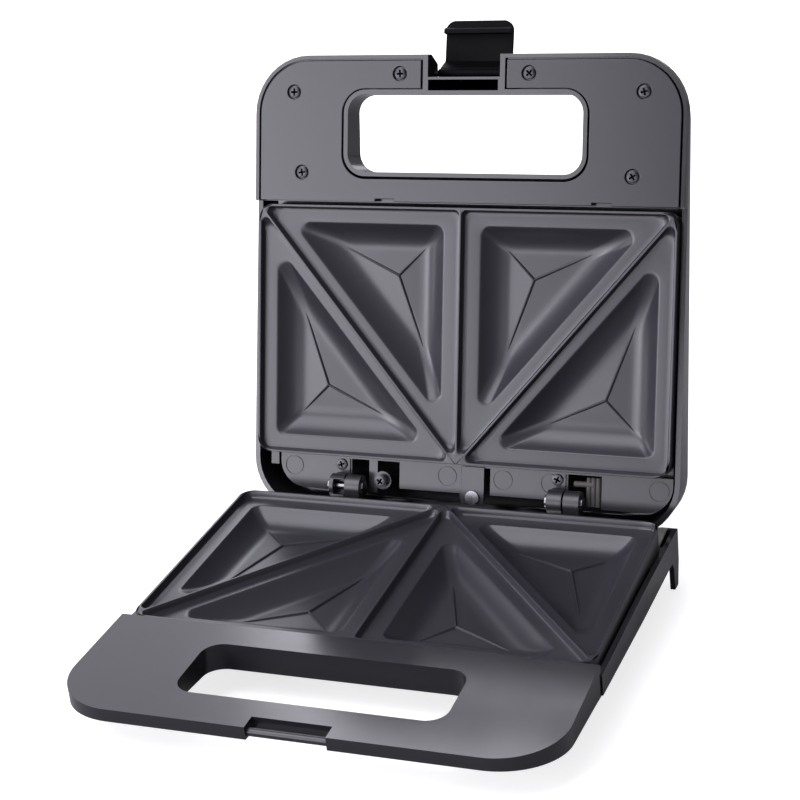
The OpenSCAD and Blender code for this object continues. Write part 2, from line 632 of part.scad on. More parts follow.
module base_bracket_screws() color([0.5, 0.5, 0.5]) cooker() for (s = [-1, 1], x = [-4, 7])
    translate([s * hinge_x + x, plate_yb + 3.2, frame_z - frame_t - 2.5]) screw(5, 2.6, 1.4);
module hinge_pins() color([0.75, 0.75, 0.76]) cooker() for (s = [-1, 1])
    translate([s * hinge_x, hinge_y, hinge_z]) rotate([0, 90, 0]) {
        translate([0, 0, -knuckle_gap / 2 - knuckle_l - 0.6])
            cylinder(r = pin_r, h = knuckle_gap + 2 * knuckle_l + 1);
        translate([0, 0, -knuckle_gap / 2 - knuckle_l - 1.5]) cylinder(r = 3.4, h = 1);
        translate([0, 0, knuckle_gap / 2 + knuckle_l + 0.2]) cylinder(r = 3.4, h = 1);
    }

// ---- lid ----
module disc_at(x, y, r) { translate([x, y, 0]) cylinder(r = r, h = 0.3, $fn = 40); }
module lid_level(z, lean, g, x0, x1, y0, r0, r1) {  // four corner discs of one level of the lid
    for (s = [-1, 1]) translate([0, 0, z]) rotate([lean, 0, 0]) {
        disc_at(s * (x0 - g - r0), y0 + g + r0, r0);
        disc_at(s * (x1 - g - r1), lid_yb - y0 / 2 - g - r1, r1);
    }
}
module lid_block(g) {  // outside of the lid, drawn in by g
    side = lid_front_t - crown - g - 0.3;
    xb = hw + lid_flare;
    hull() {
        lid_level(lid_rim, 0, g, hw, xb, 0, corner_r - g, lid_back_r - g);
        for (s = [-1, 1]) {
            disc_at(s * (hw - corner_r), corner_r, corner_r - g - 0.3);
            disc_at(s * (hw - g - 2.3), handle_d - 2, 2);
        }
        lid_level(side - edge_r, lid_rise, g, hw - 0.6, xb - 0.6, 1.8, corner_r - g, lid_back_r - g);
        lid_level(side - edge_r * 0.3, lid_rise, g, hw - 1.6, xb - 1.6, 2.8,
            corner_r - g - 1, lid_back_r - g - 1);
        lid_level(side, lid_rise, g, hw - 4.2, xb - 4.2, 5, corner_r - g - 3, lid_back_r - g - 3);
        lid_level(side + crown * 0.56, lid_rise, g, 75, 75, 4.6, 12, 12);
        lid_level(side + crown * 0.88, lid_rise, g, 38, 38, 4.3, 6, 6);
        lid_level(side + crown, lid_rise, g, 12, 12, 4.2, 3, 3);
    }
}
module lid_inner_fill() {
    translate([0, 0, -1]) linear_extrude(far) hand_hole(tube_wall);
    box(-notch_w / 2 - lid_wall, -1, -1, notch_w / 2 + lid_wall, hole_y, far);
    for (p = panel_at) translate([p[0], p[1], panel_t]) cylinder(r = boss_r, h = far);
    for (p = frame_at) translate([p[0], p[1], -2 * rim_mid - frame_z + frame_t])
        cylinder(r = boss_r, h = far);
    box(-hw - 2, handle_d - 2.4, lid_rim, hw + 2, handle_d, far);
}
module lens_place(x) { translate([x, lens_y, lid_top(lens_y)]) rotate([lid_rise, 0, 0]) children(); }
module lid_shell() color([0.25, 0.25, 0.27]) lid_place() difference() {
    lid_block(0);
    difference() {
        lid_block(lid_wall);
        lid_inner_fill();
    }
    box(-far, handle_d, -far, far, far, lid_rim);
    translate([0, 0, -1]) linear_extrude(panel_t + 1.02) difference() {
        handle_plan(lid_wall - 0.4, handle_d + 1);
        hand_hole(tube_wall);
        translate([-notch_w / 2 - lid_wall, -1]) square([notch_w + 2 * lid_wall, hole_y]);
    }
    translate([0, 0, -1]) linear_extrude(far) hand_hole(0);
    box(-notch_w / 2, -1, -1, notch_w / 2, notch_d, far);
    box(-notch_w / 2 + 0.2, notch_d + 1.3, -1, notch_w / 2 - 0.9, hole_y - 1.7, slot_top);
    translate([-notch_w / 2 - 2, pivot_y, pivot_z]) rotate([0, 90, 0])
        cylinder(r = latch_pin_r + seat_gap, h = notch_w + 4);
    for (p = panel_at) translate([p[0], p[1], 0]) cylinder(r = screw_r + seat_gap, h = 9);
    for (p = frame_at) translate([p[0], p[1], 8]) cylinder(r = screw_r + seat_gap, h = 8.5);
    for (s = [-1, 1]) lens_place(s * lens_x) translate([0, 0, -10]) cylinder(r = lens_r + 0.1, h = 20);
}
module lid_handle_panel() color([0.3, 0.3, 0.32]) lid_place() difference() {
    linear_extrude(panel_t) difference() {
        handle_plan(lid_wall, handle_d);
        translate([0, joint_gap]) hand_hole(tube_wall + joint_gap);
        translate([-notch_w / 2 - lid_wall - joint_gap, -1])
            square([notch_w + 2 * lid_wall + 2 * joint_gap, hole_y]);
        for (x = [-46, 68]) translate([x, handle_d - 1.4]) square([9, 2]);
    }
    for (p = panel_at) {
        translate([p[0], p[1], -1]) cylinder(r = screw_r + 0.2, h = 5);
        translate([p[0], p[1], -1]) cylinder(r = head_r + 0.25, h = 1 + head_h);
    }
}
module panel_screws() color([0.1, 0.1, 0.1]) lid_place()
    for (p = panel_at) translate([p[0], p[1], head_h]) screw(6, head_r, head_h - 0.2);
module lid_strip_plan() {  // strip of the lid frame that shows behind the plate
    r = 14;
    y0 = plate_yb + 0.5;
    y1 = hinge_y + 3.5;
    intersection() {
        round_rect(strip_x0, y0 - 2 * r, strip_x1, y1, r);
        translate([strip_x0 - 1, y0]) square([strip_x1 - strip_x0 + 2, y1 - y0 + 1]);
    }
}
module lid_frame() color([0.6, 0.61, 0.62]) lid_place() {
    y0 = plate_yb + 0.5;
    difference() {
        union() {
            translate([0, 0, strip_z]) linear_extrude(strip_t) lid_strip_plan();
            box(strip_x0, y0, strip_z, plate_hw - 0.5, y0 + 0.8, -2 * rim_mid - frame_z + frame_t);
            flipped() carrier_strips(y0 + 0.7);
            flipped() box(-plate_hw + 0.5, plate_yb - 4, frame_z - frame_t,
                plate_hw - 0.5, y0 + 0.7, frame_z);
            box(strip_x0 - ear_w, y0, strip_z + 5, strip_x0 + 1, y0 + strip_t, strip_z + 12);
            box(strip_x0 - ear_w, y0, strip_z + 5, strip_x0 - 3.5, plate_yb + 8, strip_z + 12);
        }
        flipped() carrier_holes();
        for (x = strip_disc_x) translate([x, strip_y, strip_z - 1]) difference() {
            cylinder(r = strip_disc_r, h = 1 + strip_t / 2);
            cylinder(r = strip_disc_r - 0.45, h = 3);
        }
        box(-hinge_x - 1.5, y0 + 1.2, strip_z - 3, -hinge_x + 9.5, hinge_y + 9, strip_z + 3);
        box(hinge_x - 1.7, y0 + 1.2, strip_z - 3, hinge_x + 17, hinge_y + 9, strip_z + 3);
        box(post_x - 3.2, y0 + 1.2, strip_z - 3, post_x + 9, far, strip_z + 3);
        box(tag_x1, y0 + 1.2, strip_z - 3, tag_x1 + 3, far, strip_z + 3);
        box(post_x, short_y, strip_z - 3, tag_x0 - 1, far, strip_z + 3);
        box(tag_x1, short_y, strip_z - 3, hinge_x, far, strip_z + 3);
        for (s = [-1, 1]) {
            box(s * hinge_x - 8.5, hinge_y - 5.7, strip_z - 1, s * hinge_x - 0.2, hinge_y - 0.7, strip_z + 2);
            hole_at([s * hinge_x - 5.8, plate_yb + 4.9, strip_z], screw_r + 0.15, 4);
        }
        hole_at([tag_at[0], tag_at[1], strip_z], 1 + seat_gap, 6);
    }
    difference() {
        union() {
            translate([post_x, post_y, strip_z - post_h]) cylinder(r = 3.3, h = post_h + 3);
            translate([post_x, post_y, strip_z - 1]) cylinder(r = 4.8, h = 1 + strip_t);
        }
        hole_at([post_x, post_y, strip_z], screw_r + seat_gap, 20);
    }
}
module lid_frame_screws() color([0.5, 0.5, 0.5]) lid_place() flipped()
    for (p = frame_at) translate([p[0], p[1], frame_z]) rotate([180, 0, 0]) screw(5.5, 2.5, 1.3);
module upper_plate() color([0.45, 0.45, 0.45]) lid_place() flipped() cooking_plate();
module upper_plate_screws() color([0.5, 0.5, 0.5]) lid_place() flipped() plate_screws();
module upper_element() color([0.45, 0.43, 0.4]) lid_place() flipped() element();
module upper_clamps() color([0.7, 0.7, 0.7]) lid_place() flipped() clamps();
module upper_clamp_screws() color([0.5, 0.5, 0.5]) lid_place() flipped() clamp_screws();
module upper_reflector() color([0.75, 0.75, 0.76]) lid_place() flipped() reflector();
module lid_hinge_knuckles() color([0.55, 0.55, 0.56]) lid_place() for (s = [-1, 1])
    translate([s * hinge_x - knuckle_gap / 2 - knuckle_l, 0, 0]) difference() {
        union() {
            translate([0, hinge_y, hinge_z]) rotate([0, 90, 0]) cylinder(r = knuckle_r, h = knuckle_l);
            box(0, hinge_y - 5.5, hinge_z, knuckle_l, hinge_y - 1, strip_z + 1.6);
            box(-1, plate_yb + 1.6, strip_z + 0.8, knuckle_l, hinge_y - 1, strip_z + 2.4);
        }
        translate([-1, hinge_y, hinge_z]) rotate([0, 90, 0])
            cylinder(r = pin_r + pin_play, h = knuckle_l + 2);
        if (s < 0) box(2.4, hinge_y - 4, hinge_z - far, knuckle_l + 1, hinge_y + 4, hinge_z);
        hole_at([knuckle_l + knuckle_gap / 2 - 5.8, plate_yb + 4.9, strip_z], screw_r + seat_gap, 20);
    }
module lid_hinge_screws() color([0.5, 0.5, 0.5]) lid_place() {
    for (s = [-1, 1]) translate([s * hinge_x - 5.8, plate_yb + 4.9, strip_z]) screw(4.2, head_r - 0.1, 1.2);
    translate([post_x, post_y, strip_z - post_h]) screw(4.2, head_r - 0.1, 1.2);
}
module latch_pin() color([0.75, 0.75, 0.76]) lid_place()
    translate([-notch_w / 2 - 1.9, pivot_y, pivot_z]) rotate([0, 90, 0])
        cylinder(r = latch_pin_r, h = notch_w + 3.8);
module wiring_sleeve() color([0.35, 0.35, 0.33]) lid_place()
    translate([hinge_x + 13.1, plate_yb + 2.6, strip_z - 0.3]) {
        for (i = [-1:1]) translate([i * wire_pitch, 0, 0]) rotate([-90, 0, 0])
            cylinder(r = wire_r, h = 14.6);
        translate([-10, 3.6, 0]) rotate([0, 90, 0]) cylinder(r = wire_r + 0.2, h = 10);
    }
module cable_tag() color([0.6, 0.6, 0.6]) lid_place() difference() {
    box(tag_x0, plate_yb + 1.2, strip_z - 1, tag_x1, plate_yb + 20.4, strip_z);
    hole_at([tag_at[0], tag_at[1], strip_z], 1 + seat_gap, 6);
}
module tag_rivet() color([0.8, 0.8, 0.8]) lid_place()
    translate([tag_at[0], tag_at[1], strip_z - 1]) {
        translate([0, 0, -1.1]) cylinder(r = tag_r, h = 1.1);
        cylinder(r = 1, h = 2.6);
    }
module lens(x) lid_place() lens_place(x) {
    translate([0, 0, -lid_wall - 0.2]) cylinder(r = lens_r, h = lid_wall + 0.6);
    translate([0, 0, 0.39]) cylinder(r1 = lens_r, r2 = lens_r - 0.8, h = 0.6);
}
module power_lens() color([0.7, 0.1, 0.08]) lens(-lens_x);
module ready_lens() color([0.15, 0.6, 0.2]) lens(lens_x);
module neon_lamps() color([0.9, 0.7, 0.5]) lid_place() for (s = [-1, 1])
    translate([s * lens_x - 5, lens_y, lid_top(lens_y) - lid_wall - 2.2]) rotate([0, 90, 0])
        cylinder(r = 1.4, h = 10);

// ---- latch, drawn hooked and then swung open ----
module latch() color([0.07, 0.07, 0.08]) latch_place() {
    lw = latch_w / 2;
    lip_z = -6.6;            // top of the lip, clear of the bar through the whole swing
    difference() {
        union() {
            translate([-lw, pivot_y, pivot_z]) rotate([0, 90, 0])
                cylinder(r = latch_pin_r + 0.9, h = latch_w);
            along_x(lw) polygon([[pivot_y - 1, pivot_z - 3], [0.8, pivot_z - 7.5], [0.8, lip_z], [5, lip_z],
                [5, lip_z - 2], [3.4, lip_z - 3], [1.6, lip_z - 3.6], [0.8, -13.6], [-1.4, -13.6],
                [-1.6, -6], [-1.6, pivot_z - 5], [0, pivot_z - 1], [pivot_y - 1.7, pivot_z + 2.1],
                [pivot_y, pivot_z + 1]]);
            for (z = [-8.4, -12.3]) translate([-lw + 4, -1.5, z]) rotate([0, 90, 0])
                cylinder(r = 0.9, h = latch_w - 8);
        }
        translate([-lw - 1, pivot_y, pivot_z]) rotate([0, 90, 0])
            cylinder(r = latch_pin_r + latch_play, h = latch_w + 2);
        both_sides() translate([lw - 5, 0, -8.6]) rotate([90, 0, 0]) translate([0, 0, -far / 2])
            linear_extrude(far) difference() {
                translate([0, -6]) square([6, 6]);
                circle(r = 5);
            }
    }
}

base_shell();
bottom_cover();
handle_cover();
cover_screws();
front_feet();
catch_bar();
base_frame();
frame_screws();
lower_plate();
lower_plate_screws();
lower_element();
lower_clamps();
lower_clamp_screws();
lower_reflector();
thermostat();
thermal_fuse();
terminal_block();
cord_gland();
base_hinge_brackets();
base_bracket_screws();
hinge_pins();
lid_shell();
lid_handle_panel();
panel_screws();
lid_frame();
lid_frame_screws();
upper_plate();
upper_plate_screws();
upper_element();
upper_clamps();
upper_clamp_screws();
upper_reflector();
lid_hinge_knuckles();
lid_hinge_screws();
latch_pin();
wiring_sleeve();
cable_tag();
tag_rivet();
power_lens();
ready_lens();
neon_lamps();
latch();
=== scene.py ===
"""Looks of a hinged sandwich toaster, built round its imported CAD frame.

Shapes are drawn in millimetres in the cooker's own frame, shut: y = 0 at the front edge of
the handles, z = 0 where the handles meet. One matrix per body then takes them to the frame.
"""
import json
import math

import bmesh
import bpy
from bpy.props import FloatProperty, FloatVectorProperty, PointerProperty
from mathutils import Matrix, Vector


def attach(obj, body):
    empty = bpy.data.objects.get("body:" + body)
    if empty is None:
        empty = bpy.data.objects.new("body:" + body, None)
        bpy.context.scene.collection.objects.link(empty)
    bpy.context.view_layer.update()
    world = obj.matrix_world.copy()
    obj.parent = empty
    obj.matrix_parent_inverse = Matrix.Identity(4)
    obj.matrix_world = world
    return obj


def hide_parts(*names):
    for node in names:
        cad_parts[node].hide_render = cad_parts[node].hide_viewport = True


bl_info = {
    "name": "Sandwich toaster looks",
    "version": (1, 0, 0),
    "blender": (4, 5, 0),
    "location": "View3D > Sidebar > Toaster",
    "description": "Builds the looks of a hinged sandwich toaster round its CAD frame",
    "category": "Object",
}

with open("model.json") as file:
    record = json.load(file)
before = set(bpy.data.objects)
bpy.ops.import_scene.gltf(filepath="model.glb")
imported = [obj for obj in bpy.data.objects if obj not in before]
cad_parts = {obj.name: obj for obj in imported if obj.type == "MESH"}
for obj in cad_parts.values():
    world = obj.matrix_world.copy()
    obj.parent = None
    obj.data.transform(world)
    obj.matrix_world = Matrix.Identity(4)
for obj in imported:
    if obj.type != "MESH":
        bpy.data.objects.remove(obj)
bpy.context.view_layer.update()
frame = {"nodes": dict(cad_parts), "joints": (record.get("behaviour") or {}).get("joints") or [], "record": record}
MM = 0.001

# ---- the cooker's own frame, millimetres and degrees ----
TILT = 6.0
LID_OPEN = 107.93
HINGE = (222.47, -2.75)
PLATE_HALF_W = 111.0
PLATE_FRONT = 76.7
PLATE_BACK = 207.4
PLATE_CORNER = 7.5                   # corner radius of a cooking plate
PLATE_BOTTOM = -12.4                 # lower edge of a plate's side wall
PLATE_SKIN = 3.0                     # from the land down to the underside
POCKET_CORNER = 4.6                  # corner radius of a pocket
CELL_CORNER = 2.6                    # corner radius inside a rim
MEETING = -1.2
LAND = -5.3
# Box inside which the case plastic gets painted shade: black, with no specular.
SLOT_LOW = (-18.95, 12.65, 0.9)       # corners of the slot behind the latch notch
SLOT_HIGH = (18.25, 18.35, 12.6)
PANEL_GAP = 0.55                     # how far the handle panel is drawn in from its seat


def joint_at(name):
    """A joint's place in millimetres."""
    found = next(j for j in frame["joints"] if j["name"] == name)
    return Vector(found["pos_m"]) / MM


def body_matrix(joint, own, turn):
    """Takes shut-cooker millimetres to the frame's metres, for a body turned about a joint."""
    place = Matrix.Translation(joint_at(joint)) @ Matrix.Rotation(math.radians(turn), 4, "X")
    return Matrix.Scale(MM, 4) @ place @ Matrix.Translation((0, -own[0], -own[1]))


BASE = body_matrix("lid_hinge", HINGE, TILT)
LID = body_matrix("lid_hinge", HINGE, TILT - LID_OPEN)


# ---- colours and material nodes ----
def linear(code):
    """An sRGB hex value as a linear colour."""
    parts = [int(code[i:i + 2], 16) / 255 for i in (1, 3, 5)]
    return [c / 12.92 if c <= 0.04045 else ((c + 0.055) / 1.055) ** 2.4 for c in parts] + [1.0]


def add_node(tree, kind, values=None, links=None, **settings):
    """Adds one node with its settings, its input values and the sockets linked into it."""
    made = tree.nodes.new(kind)
    for key, value in settings.items():
        setattr(made, key, value)
    for key, value in (values or {}).items():
        made.inputs[key].default_value = value
    for key, source in (links or {}).items():
        tree.links.new(source, made.inputs[key])
    return made


def per_mm(size):
    """Scale of a pattern on Object coordinates whose features are this many millimetres."""
    return 1.0 / (size * MM)


def surface(name, base, rough, metal=0.0, grain=None, mottle=None, **shader):
    """A procedural surface: grain is (size mm, height mm), mottle is (size mm, roughness swing)."""
    made = bpy.data.materials.new(name)
    made.use_nodes = True
    tree = made.node_tree
    tree.nodes.clear()
    out = add_node(tree, "ShaderNodeOutputMaterial")
    values = {"Base Color": linear(base), "Roughness": rough, "Metallic": metal}
    values.update({key.replace("_", " "): value for key, value in shader.items()})
    principled = add_node(tree, "ShaderNodeBsdfPrincipled", values)
    tree.links.new(principled.outputs["BSDF"], out.inputs["Surface"])
    spot = add_node(tree, "ShaderNodeTexCoord").outputs["Object"]
    if mottle:
        cloud = add_node(tree, "ShaderNodeTexNoise", {"Scale": per_mm(mottle[0]), "Detail": 3.0},
                         {"Vector": spot})
        spread = add_node(tree, "ShaderNodeMapRange",
                          {"From Min": 0.3, "From Max": 0.7, "To Min": rough - mottle[1],
                           "To Max": rough + mottle[1]}, {"Value": cloud.outputs["Fac"]})
        tree.links.new(spread.outputs["Result"], principled.inputs["Roughness"])
    if grain:
        fine = add_node(tree, "ShaderNodeTexNoise", {"Scale": per_mm(grain[0]), "Detail": 2.0},
                        {"Vector": spot})
        bump = add_node(tree, "ShaderNodeBump", {"Strength": 1.0, "Distance": grain[1] * MM},
                        {"Height": fine.outputs["Fac"]})
        tree.links.new(bump.outputs["Normal"], principled.inputs["Normal"])
    return made


PLAIN_SPECULAR = 0.5                 # a plain plastic's specular level


def paint_slot_shade(made, look):
    """Paints shade into the slot behind the latch notch: inside a box there the colour and the specular level go
    to zero, a painted black standing in for the shade of a slot open to a hollow lid.
    """
    tree = made.node_tree
    principled = next(n for n in tree.nodes if n.type == "BSDF_PRINCIPLED")
    low, high = Vector(SLOT_LOW), Vector(SLOT_HIGH)
    spot = add_node(tree, "ShaderNodeTexCoord").outputs["Object"]
    inside = add_node(tree, "ShaderNodeMapping",
                      {"Location": LID @ ((low + high) / 2), "Scale": (high - low) / 2 * MM,
                       "Rotation": (math.radians(TILT - LID_OPEN), 0, 0)},
                      {"Vector": spot}, vector_type="TEXTURE")
    reach = add_node(tree, "ShaderNodeVectorMath", None, {0: inside.outputs[0]}, operation="ABSOLUTE")
    side = add_node(tree, "ShaderNodeSeparateXYZ", None, {0: reach.outputs[0]}).outputs
    flat = add_node(tree, "ShaderNodeMath", None, {0: side[0], 1: side[1]}, operation="MAXIMUM")
    deep = add_node(tree, "ShaderNodeMath", None, {0: flat.outputs[0], 1: side[2]}, operation="MAXIMUM")
    # lit is 1 outside the box and 0 inside it, where the shade is painted.
    lit = add_node(tree, "ShaderNodeMath", {1: 1.0}, {0: deep.outputs[0]}, operation="GREATER_THAN")
    # Painted shade: colour and specular level drop to zero inside the box.
    tint = add_node(tree, "ShaderNodeVectorMath", {0: linear(look)[:3]}, {"Scale": lit.outputs[0]},
                    operation="SCALE")
    shine = add_node(tree, "ShaderNodeMath", {1: PLAIN_SPECULAR}, {0: lit.outputs[0]}, operation="MULTIPLY")
    tree.links.new(tint.outputs[0], principled.inputs["Base Color"])
    tree.links.new(shine.outputs[0], principled.inputs["Specular IOR Level"])
    return made


def case_plastic(look):
    """Charcoal ABS, moulded in a polished tool: dark and even, with soft clear reflections, and painted black
    shade inside the slot behind the latch notch.
    """
    made = surface("charcoal_abs_moulded", look, 0.17, grain=(0.9, 0.002), mottle=(14, 0.015), IOR=1.53)
    return paint_slot_shade(made, look)


def panel_plastic(look):
    """Charcoal ABS from a lightly blasted tool: a little paler and duller than the case."""
    return surface("charcoal_abs_satin", look, 0.26, grain=(0.7, 0.002), mottle=(12, 0.012), IOR=1.48)


def latch_plastic():
    """Black nylon, moulded: deep black with a satin sheen."""
    return surface("black_nylon_moulded", "#040405", 0.6, grain=(0.8, 0.004), mottle=(9, 0.03),
                   IOR=1.53, Specular_IOR_Level=0.05)


def hinge_plastic():
    """Glass-filled black nylon, moulded: near black, duller than the latch."""
    return surface("filled_nylon_moulded", "#232225", 0.36, grain=(0.6, 0.008), mottle=(6, 0.04),
                   IOR=1.53)


def plate_coating(look):
    """Sprayed non-stick coating on cast aluminium: mid grey, satin, with a fine sprayed tooth."""
    return surface("nonstick_coating_sprayed", look, 0.3, grain=(0.8, 0.003), mottle=(3, 0.01),
                   IOR=1.46)


FIXED_LOOKS = {
    # Zinc-plated mild steel: pale grey with a cool shine.
    "steel": lambda: surface("zinc_plated_steel", "#515154", 0.48, 1.0, mottle=(3, 0.08)),
    # Ground and polished steel pins: bright, sharp reflections.
    "pin_steel": lambda: surface("polished_steel", "#7b7b7e", 0.28, 1.0, mottle=(4, 0.04)),
    # Black-oxide screws: nearly black metal that still glints on its edges.
    "black_screws": lambda: surface("black_oxide_steel", "#3d3c40", 0.36, 0.85, mottle=(1.5, 0.08)),
    # Cold-rolled sheet: pale grey with a faint direction from rolling.
    "sheet_metal": lambda: surface("rolled_sheet", "#c9c9c6", 0.38, 1.0,
                                   grain=(1.5, 0.003), mottle=(6, 0.07)),
    # Steel element sheath, tinted brown-grey by heat.
    "element_sheath": lambda: surface("heat_tinted_steel", "#6d655a", 0.45, 1.0, mottle=(5, 0.1)),
    # Moulded rubber feet: matt black.
    "foot_rubber": lambda: surface("moulded_rubber", "#1b1b1b", 0.75,
                                   grain=(0.8, 0.02), mottle=(4, 0.05)),
    # Pressed steatite: off-white, matt.
    "ceramic": lambda: surface("pressed_ceramic", "#dcd6c8", 0.6, grain=(0.6, 0.01), mottle=(4, 0.05)),
    # White moulded plastic of the terminal block.
    "white_plastic": lambda: surface("white_nylon_moulded", "#dedcd4", 0.45,
                                     mottle=(5, 0.04), IOR=1.53),
    # Glass-fibre sleeve: dark grey, dull, woven threads.
    "woven_sleeve": lambda: surface("glass_fibre_sleeve", "#42403e", 0.7,
                                    grain=(0.5, 0.06), mottle=(2, 0.06)),
    # Clear tinted lenses and the lamps' glass.
    "red_lens": lambda: surface("red_polycarbonate", "#c8140e", 0.12, mottle=(6, 0.02), IOR=1.58),
    "green_lens": lambda: surface("green_polycarbonate", "#17913a", 0.12, mottle=(6, 0.02), IOR=1.58),
    "lamp_glass": lambda: surface("lamp_glass", "#e9d8c4", 0.08, mottle=(4, 0.02), IOR=1.5),
}
LOOKS = {}


def make_looks(finish):
    """One material per slot of the record."""
    LOOKS.update({name: build() for name, build in FIXED_LOOKS.items()})
    LOOKS["charcoal_plastic"] = case_plastic(hex_of(finish.case_colour))
    LOOKS["panel_plastic"] = panel_plastic(hex_of(finish.panel_colour))
    LOOKS["black_plastic"] = latch_plastic()
    LOOKS["hinge_plastic"] = hinge_plastic()
    LOOKS["plate_coating"] = plate_coating(hex_of(finish.plate_colour))


def hex_of(colour):
    """A colour property, kept in sRGB, as a hex value."""
    return "#" + "".join(f"{round(c * 255):02x}" for c in colour)


def rgb_of(code):
    """An sRGB hex value as three numbers, for a property's default."""
    return tuple(int(code[i:i + 2], 16) / 255 for i in (1, 3, 5))


# ---- making pieces ----
def finish_piece(obj, body, slot, *nodes):
    """Gives a piece the material of its slot and its body, and hides the CAD nodes that it stands for."""
    obj.data.materials.clear()
    obj.data.materials.append(LOOKS[slot])
    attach(obj, body)
    if nodes:
        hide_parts(*nodes)
    return obj


def smooth_by_angle(obj, degrees):
    """Shades smooth but keeps edges sharper than this angle."""
    mesh = obj.data
    mesh.shade_smooth()
    mesh.set_sharp_from_angle(angle=math.radians(degrees))


def mesh_piece(name, shape, degrees=32.0):
    """An object from a finished bmesh that is already in the frame's metres."""
    mesh = bpy.data.meshes.new(name)
    shape.to_mesh(mesh)
    shape.free()
    obj = bpy.data.objects.new(name, mesh)
    bpy.context.scene.collection.objects.link(obj)
    smooth_by_angle(obj, degrees)
    return obj


def apply_modifiers(obj):
    """Turns an object with modifiers into a plain mesh."""
    bpy.context.view_layer.update()
    graph = bpy.context.evaluated_depsgraph_get()
    plain = bpy.data.meshes.new_from_object(obj.evaluated_get(graph))
    obj.modifiers.clear()
    obj.data = plain
    return obj


def draw_in(shape, axis, gap):
    """Moves the walls that run along an axis inwards, so that the seam round them widens."""
    steps = {}
    for vert in shape.verts:
        walls = [f.normal for f in vert.link_faces if abs(f.normal.dot(axis)) < 0.5]
        if walls:
            mean = sum(walls, Vector()).normalized()
            steps[vert] = mean * (-gap * MM / max(0.5, min(mean.dot(w) for w in walls)))
    for vert, step in steps.items():
        vert.co += step


def rounded_copy(node, width, name=None, angle=34.0, segments=3, gap=0.0):
    """A copy of a CAD node with its doubles merged, flat faces joined and edges rounded."""
    source = frame["nodes"][node]
    shape = bmesh.new()
    shape.from_mesh(source.data)
    bmesh.ops.remove_doubles(shape, verts=shape.verts, dist=2e-6)
    bmesh.ops.dissolve_limit(shape, angle_limit=math.radians(0.6), verts=shape.verts, edges=shape.edges)
    if gap:
        draw_in(shape, LID.to_3x3().col[2].normalized(), gap)
    obj = mesh_piece(name or node + "_skin", shape)
    bevel = obj.modifiers.new("edges", "BEVEL")
    bevel.width = width * MM
    bevel.segments = segments
    bevel.limit_method = "ANGLE"
    bevel.angle_limit = math.radians(angle)
    bevel.use_clamp_overlap = True
    weigh = obj.modifiers.new("normals", "WEIGHTED_NORMAL")
    weigh.mode = "FACE_AREA"
    weigh.weight = 100
    weigh.keep_sharp = True
    return apply_modifiers(obj)


def remapped(shape, matrix):
    """Moves a bmesh drawn in millimetres to the frame, and turns its faces outwards."""
    shape.transform(matrix)
    bmesh.ops.recalc_face_normals(shape, faces=shape.faces)
    return shape


# ---- plane geometry of the cells and pockets ----
def cross(a, b):
    """Cross product of two flat vectors."""
    return a[0] * b[1] - a[1] * b[0]


def side_dir(tri, i):
    """Direction of a triangle's side."""
    a, b = Vector(tri[i]), Vector(tri[(i + 1) % 3])
    return (b - a).normalized()


def inset_triangle(tri, insets):
    """Corners of a counter-clockwise triangle whose sides move in by these distances."""
    corners = []
    for i in range(3):
        j = (i + 2) % 3
        u, v = side_dir(tri, j), side_dir(tri, i)
        p = Vector(tri[j]) + Vector((-u.y, u.x)) * insets[j]
        q = Vector(tri[i]) + Vector((-v.y, v.x)) * insets[i]
        corners.append(p + u * (cross(q - p, v) / cross(u, v)))
    return corners


def incentre(tri):
    """Centre of the circle that touches a triangle's three sides."""
    a, b, c = ((Vector(tri[(i + 1) % 3]) - Vector(tri[(i + 2) % 3])).length for i in range(3))
    return (Vector(tri[0]) * a + Vector(tri[1]) * b + Vector(tri[2]) * c) / (a + b + c)


def in_radius(tri):
    """Radius of the circle that touches a triangle's three sides."""
    sides = [(Vector(tri[(i + 1) % 3]) - Vector(tri[i])).length for i in range(3)]
    return abs(cross(Vector(tri[1]) - Vector(tri[0]), Vector(tri[2]) - Vector(tri[0]))) / sum(sides)


ARC_STEPS = 10
SIDE_STEPS = 14


def soft_ring(tri, insets, radius):
    """Points round a triangle drawn in by insets, with round corners, all rings alike in count."""
    centres = inset_triangle(tri, [d + radius for d in insets])
    arcs = []
    for i, centre in enumerate(centres):
        u, v = side_dir(tri, (i + 2) % 3), side_dir(tri, i)
        a0 = math.atan2(-u.x, u.y)
        turn = math.atan2(cross(u, v), u.dot(v))
        arcs.append([centre + Vector((math.cos(a0 + turn * k / ARC_STEPS),
                                      math.sin(a0 + turn * k / ARC_STEPS))) * radius
                     for k in range(ARC_STEPS + 1)])
    ring = []
    for i, arc in enumerate(arcs):
        ring.extend(arc)
        nxt = arcs[(i + 1) % 3][0]
        ring.extend(arc[-1].lerp(nxt, k / SIDE_STEPS) for k in range(1, SIDE_STEPS))
    return ring


def scaled_ring(tri, inset, radius):
    """Round-cornered ring of a triangle, shrunk about its incentre by an inset."""
    share = (in_radius(tri) - inset) / in_radius(tri)
    centre = incentre(tri)
    return [centre + (p - centre) * share for p in soft_ring(tri, (0, 0, 0), radius)]


def add_ring(shape, points, z):
    """New vertices at one height."""
    return [shape.verts.new((p[0], p[1], z)) for p in points]


def bridge(shape, low, high):
    """Faces between two rings of as many points."""
    count = len(low)
    for k in range(count):
        m = (k + 1) % count
        shape.faces.new((low[k], low[m], high[m], high[k]))


def rounded_outline(half_w, y0, y1, radius, steps=10):
    """Points round a rectangle with round corners, counter-clockwise."""
    points = []
    for cx, cy, a0 in ((half_w - radius, y0 + radius, -90), (half_w - radius, y1 - radius, 0),
                       (-half_w + radius, y1 - radius, 90), (-half_w + radius, y0 + radius, 180)):
        for k in range(steps + 1):
            a = math.radians(a0 + 90 * k / steps)
            points.append((cx + radius * math.cos(a), cy + radius * math.sin(a)))
    return points


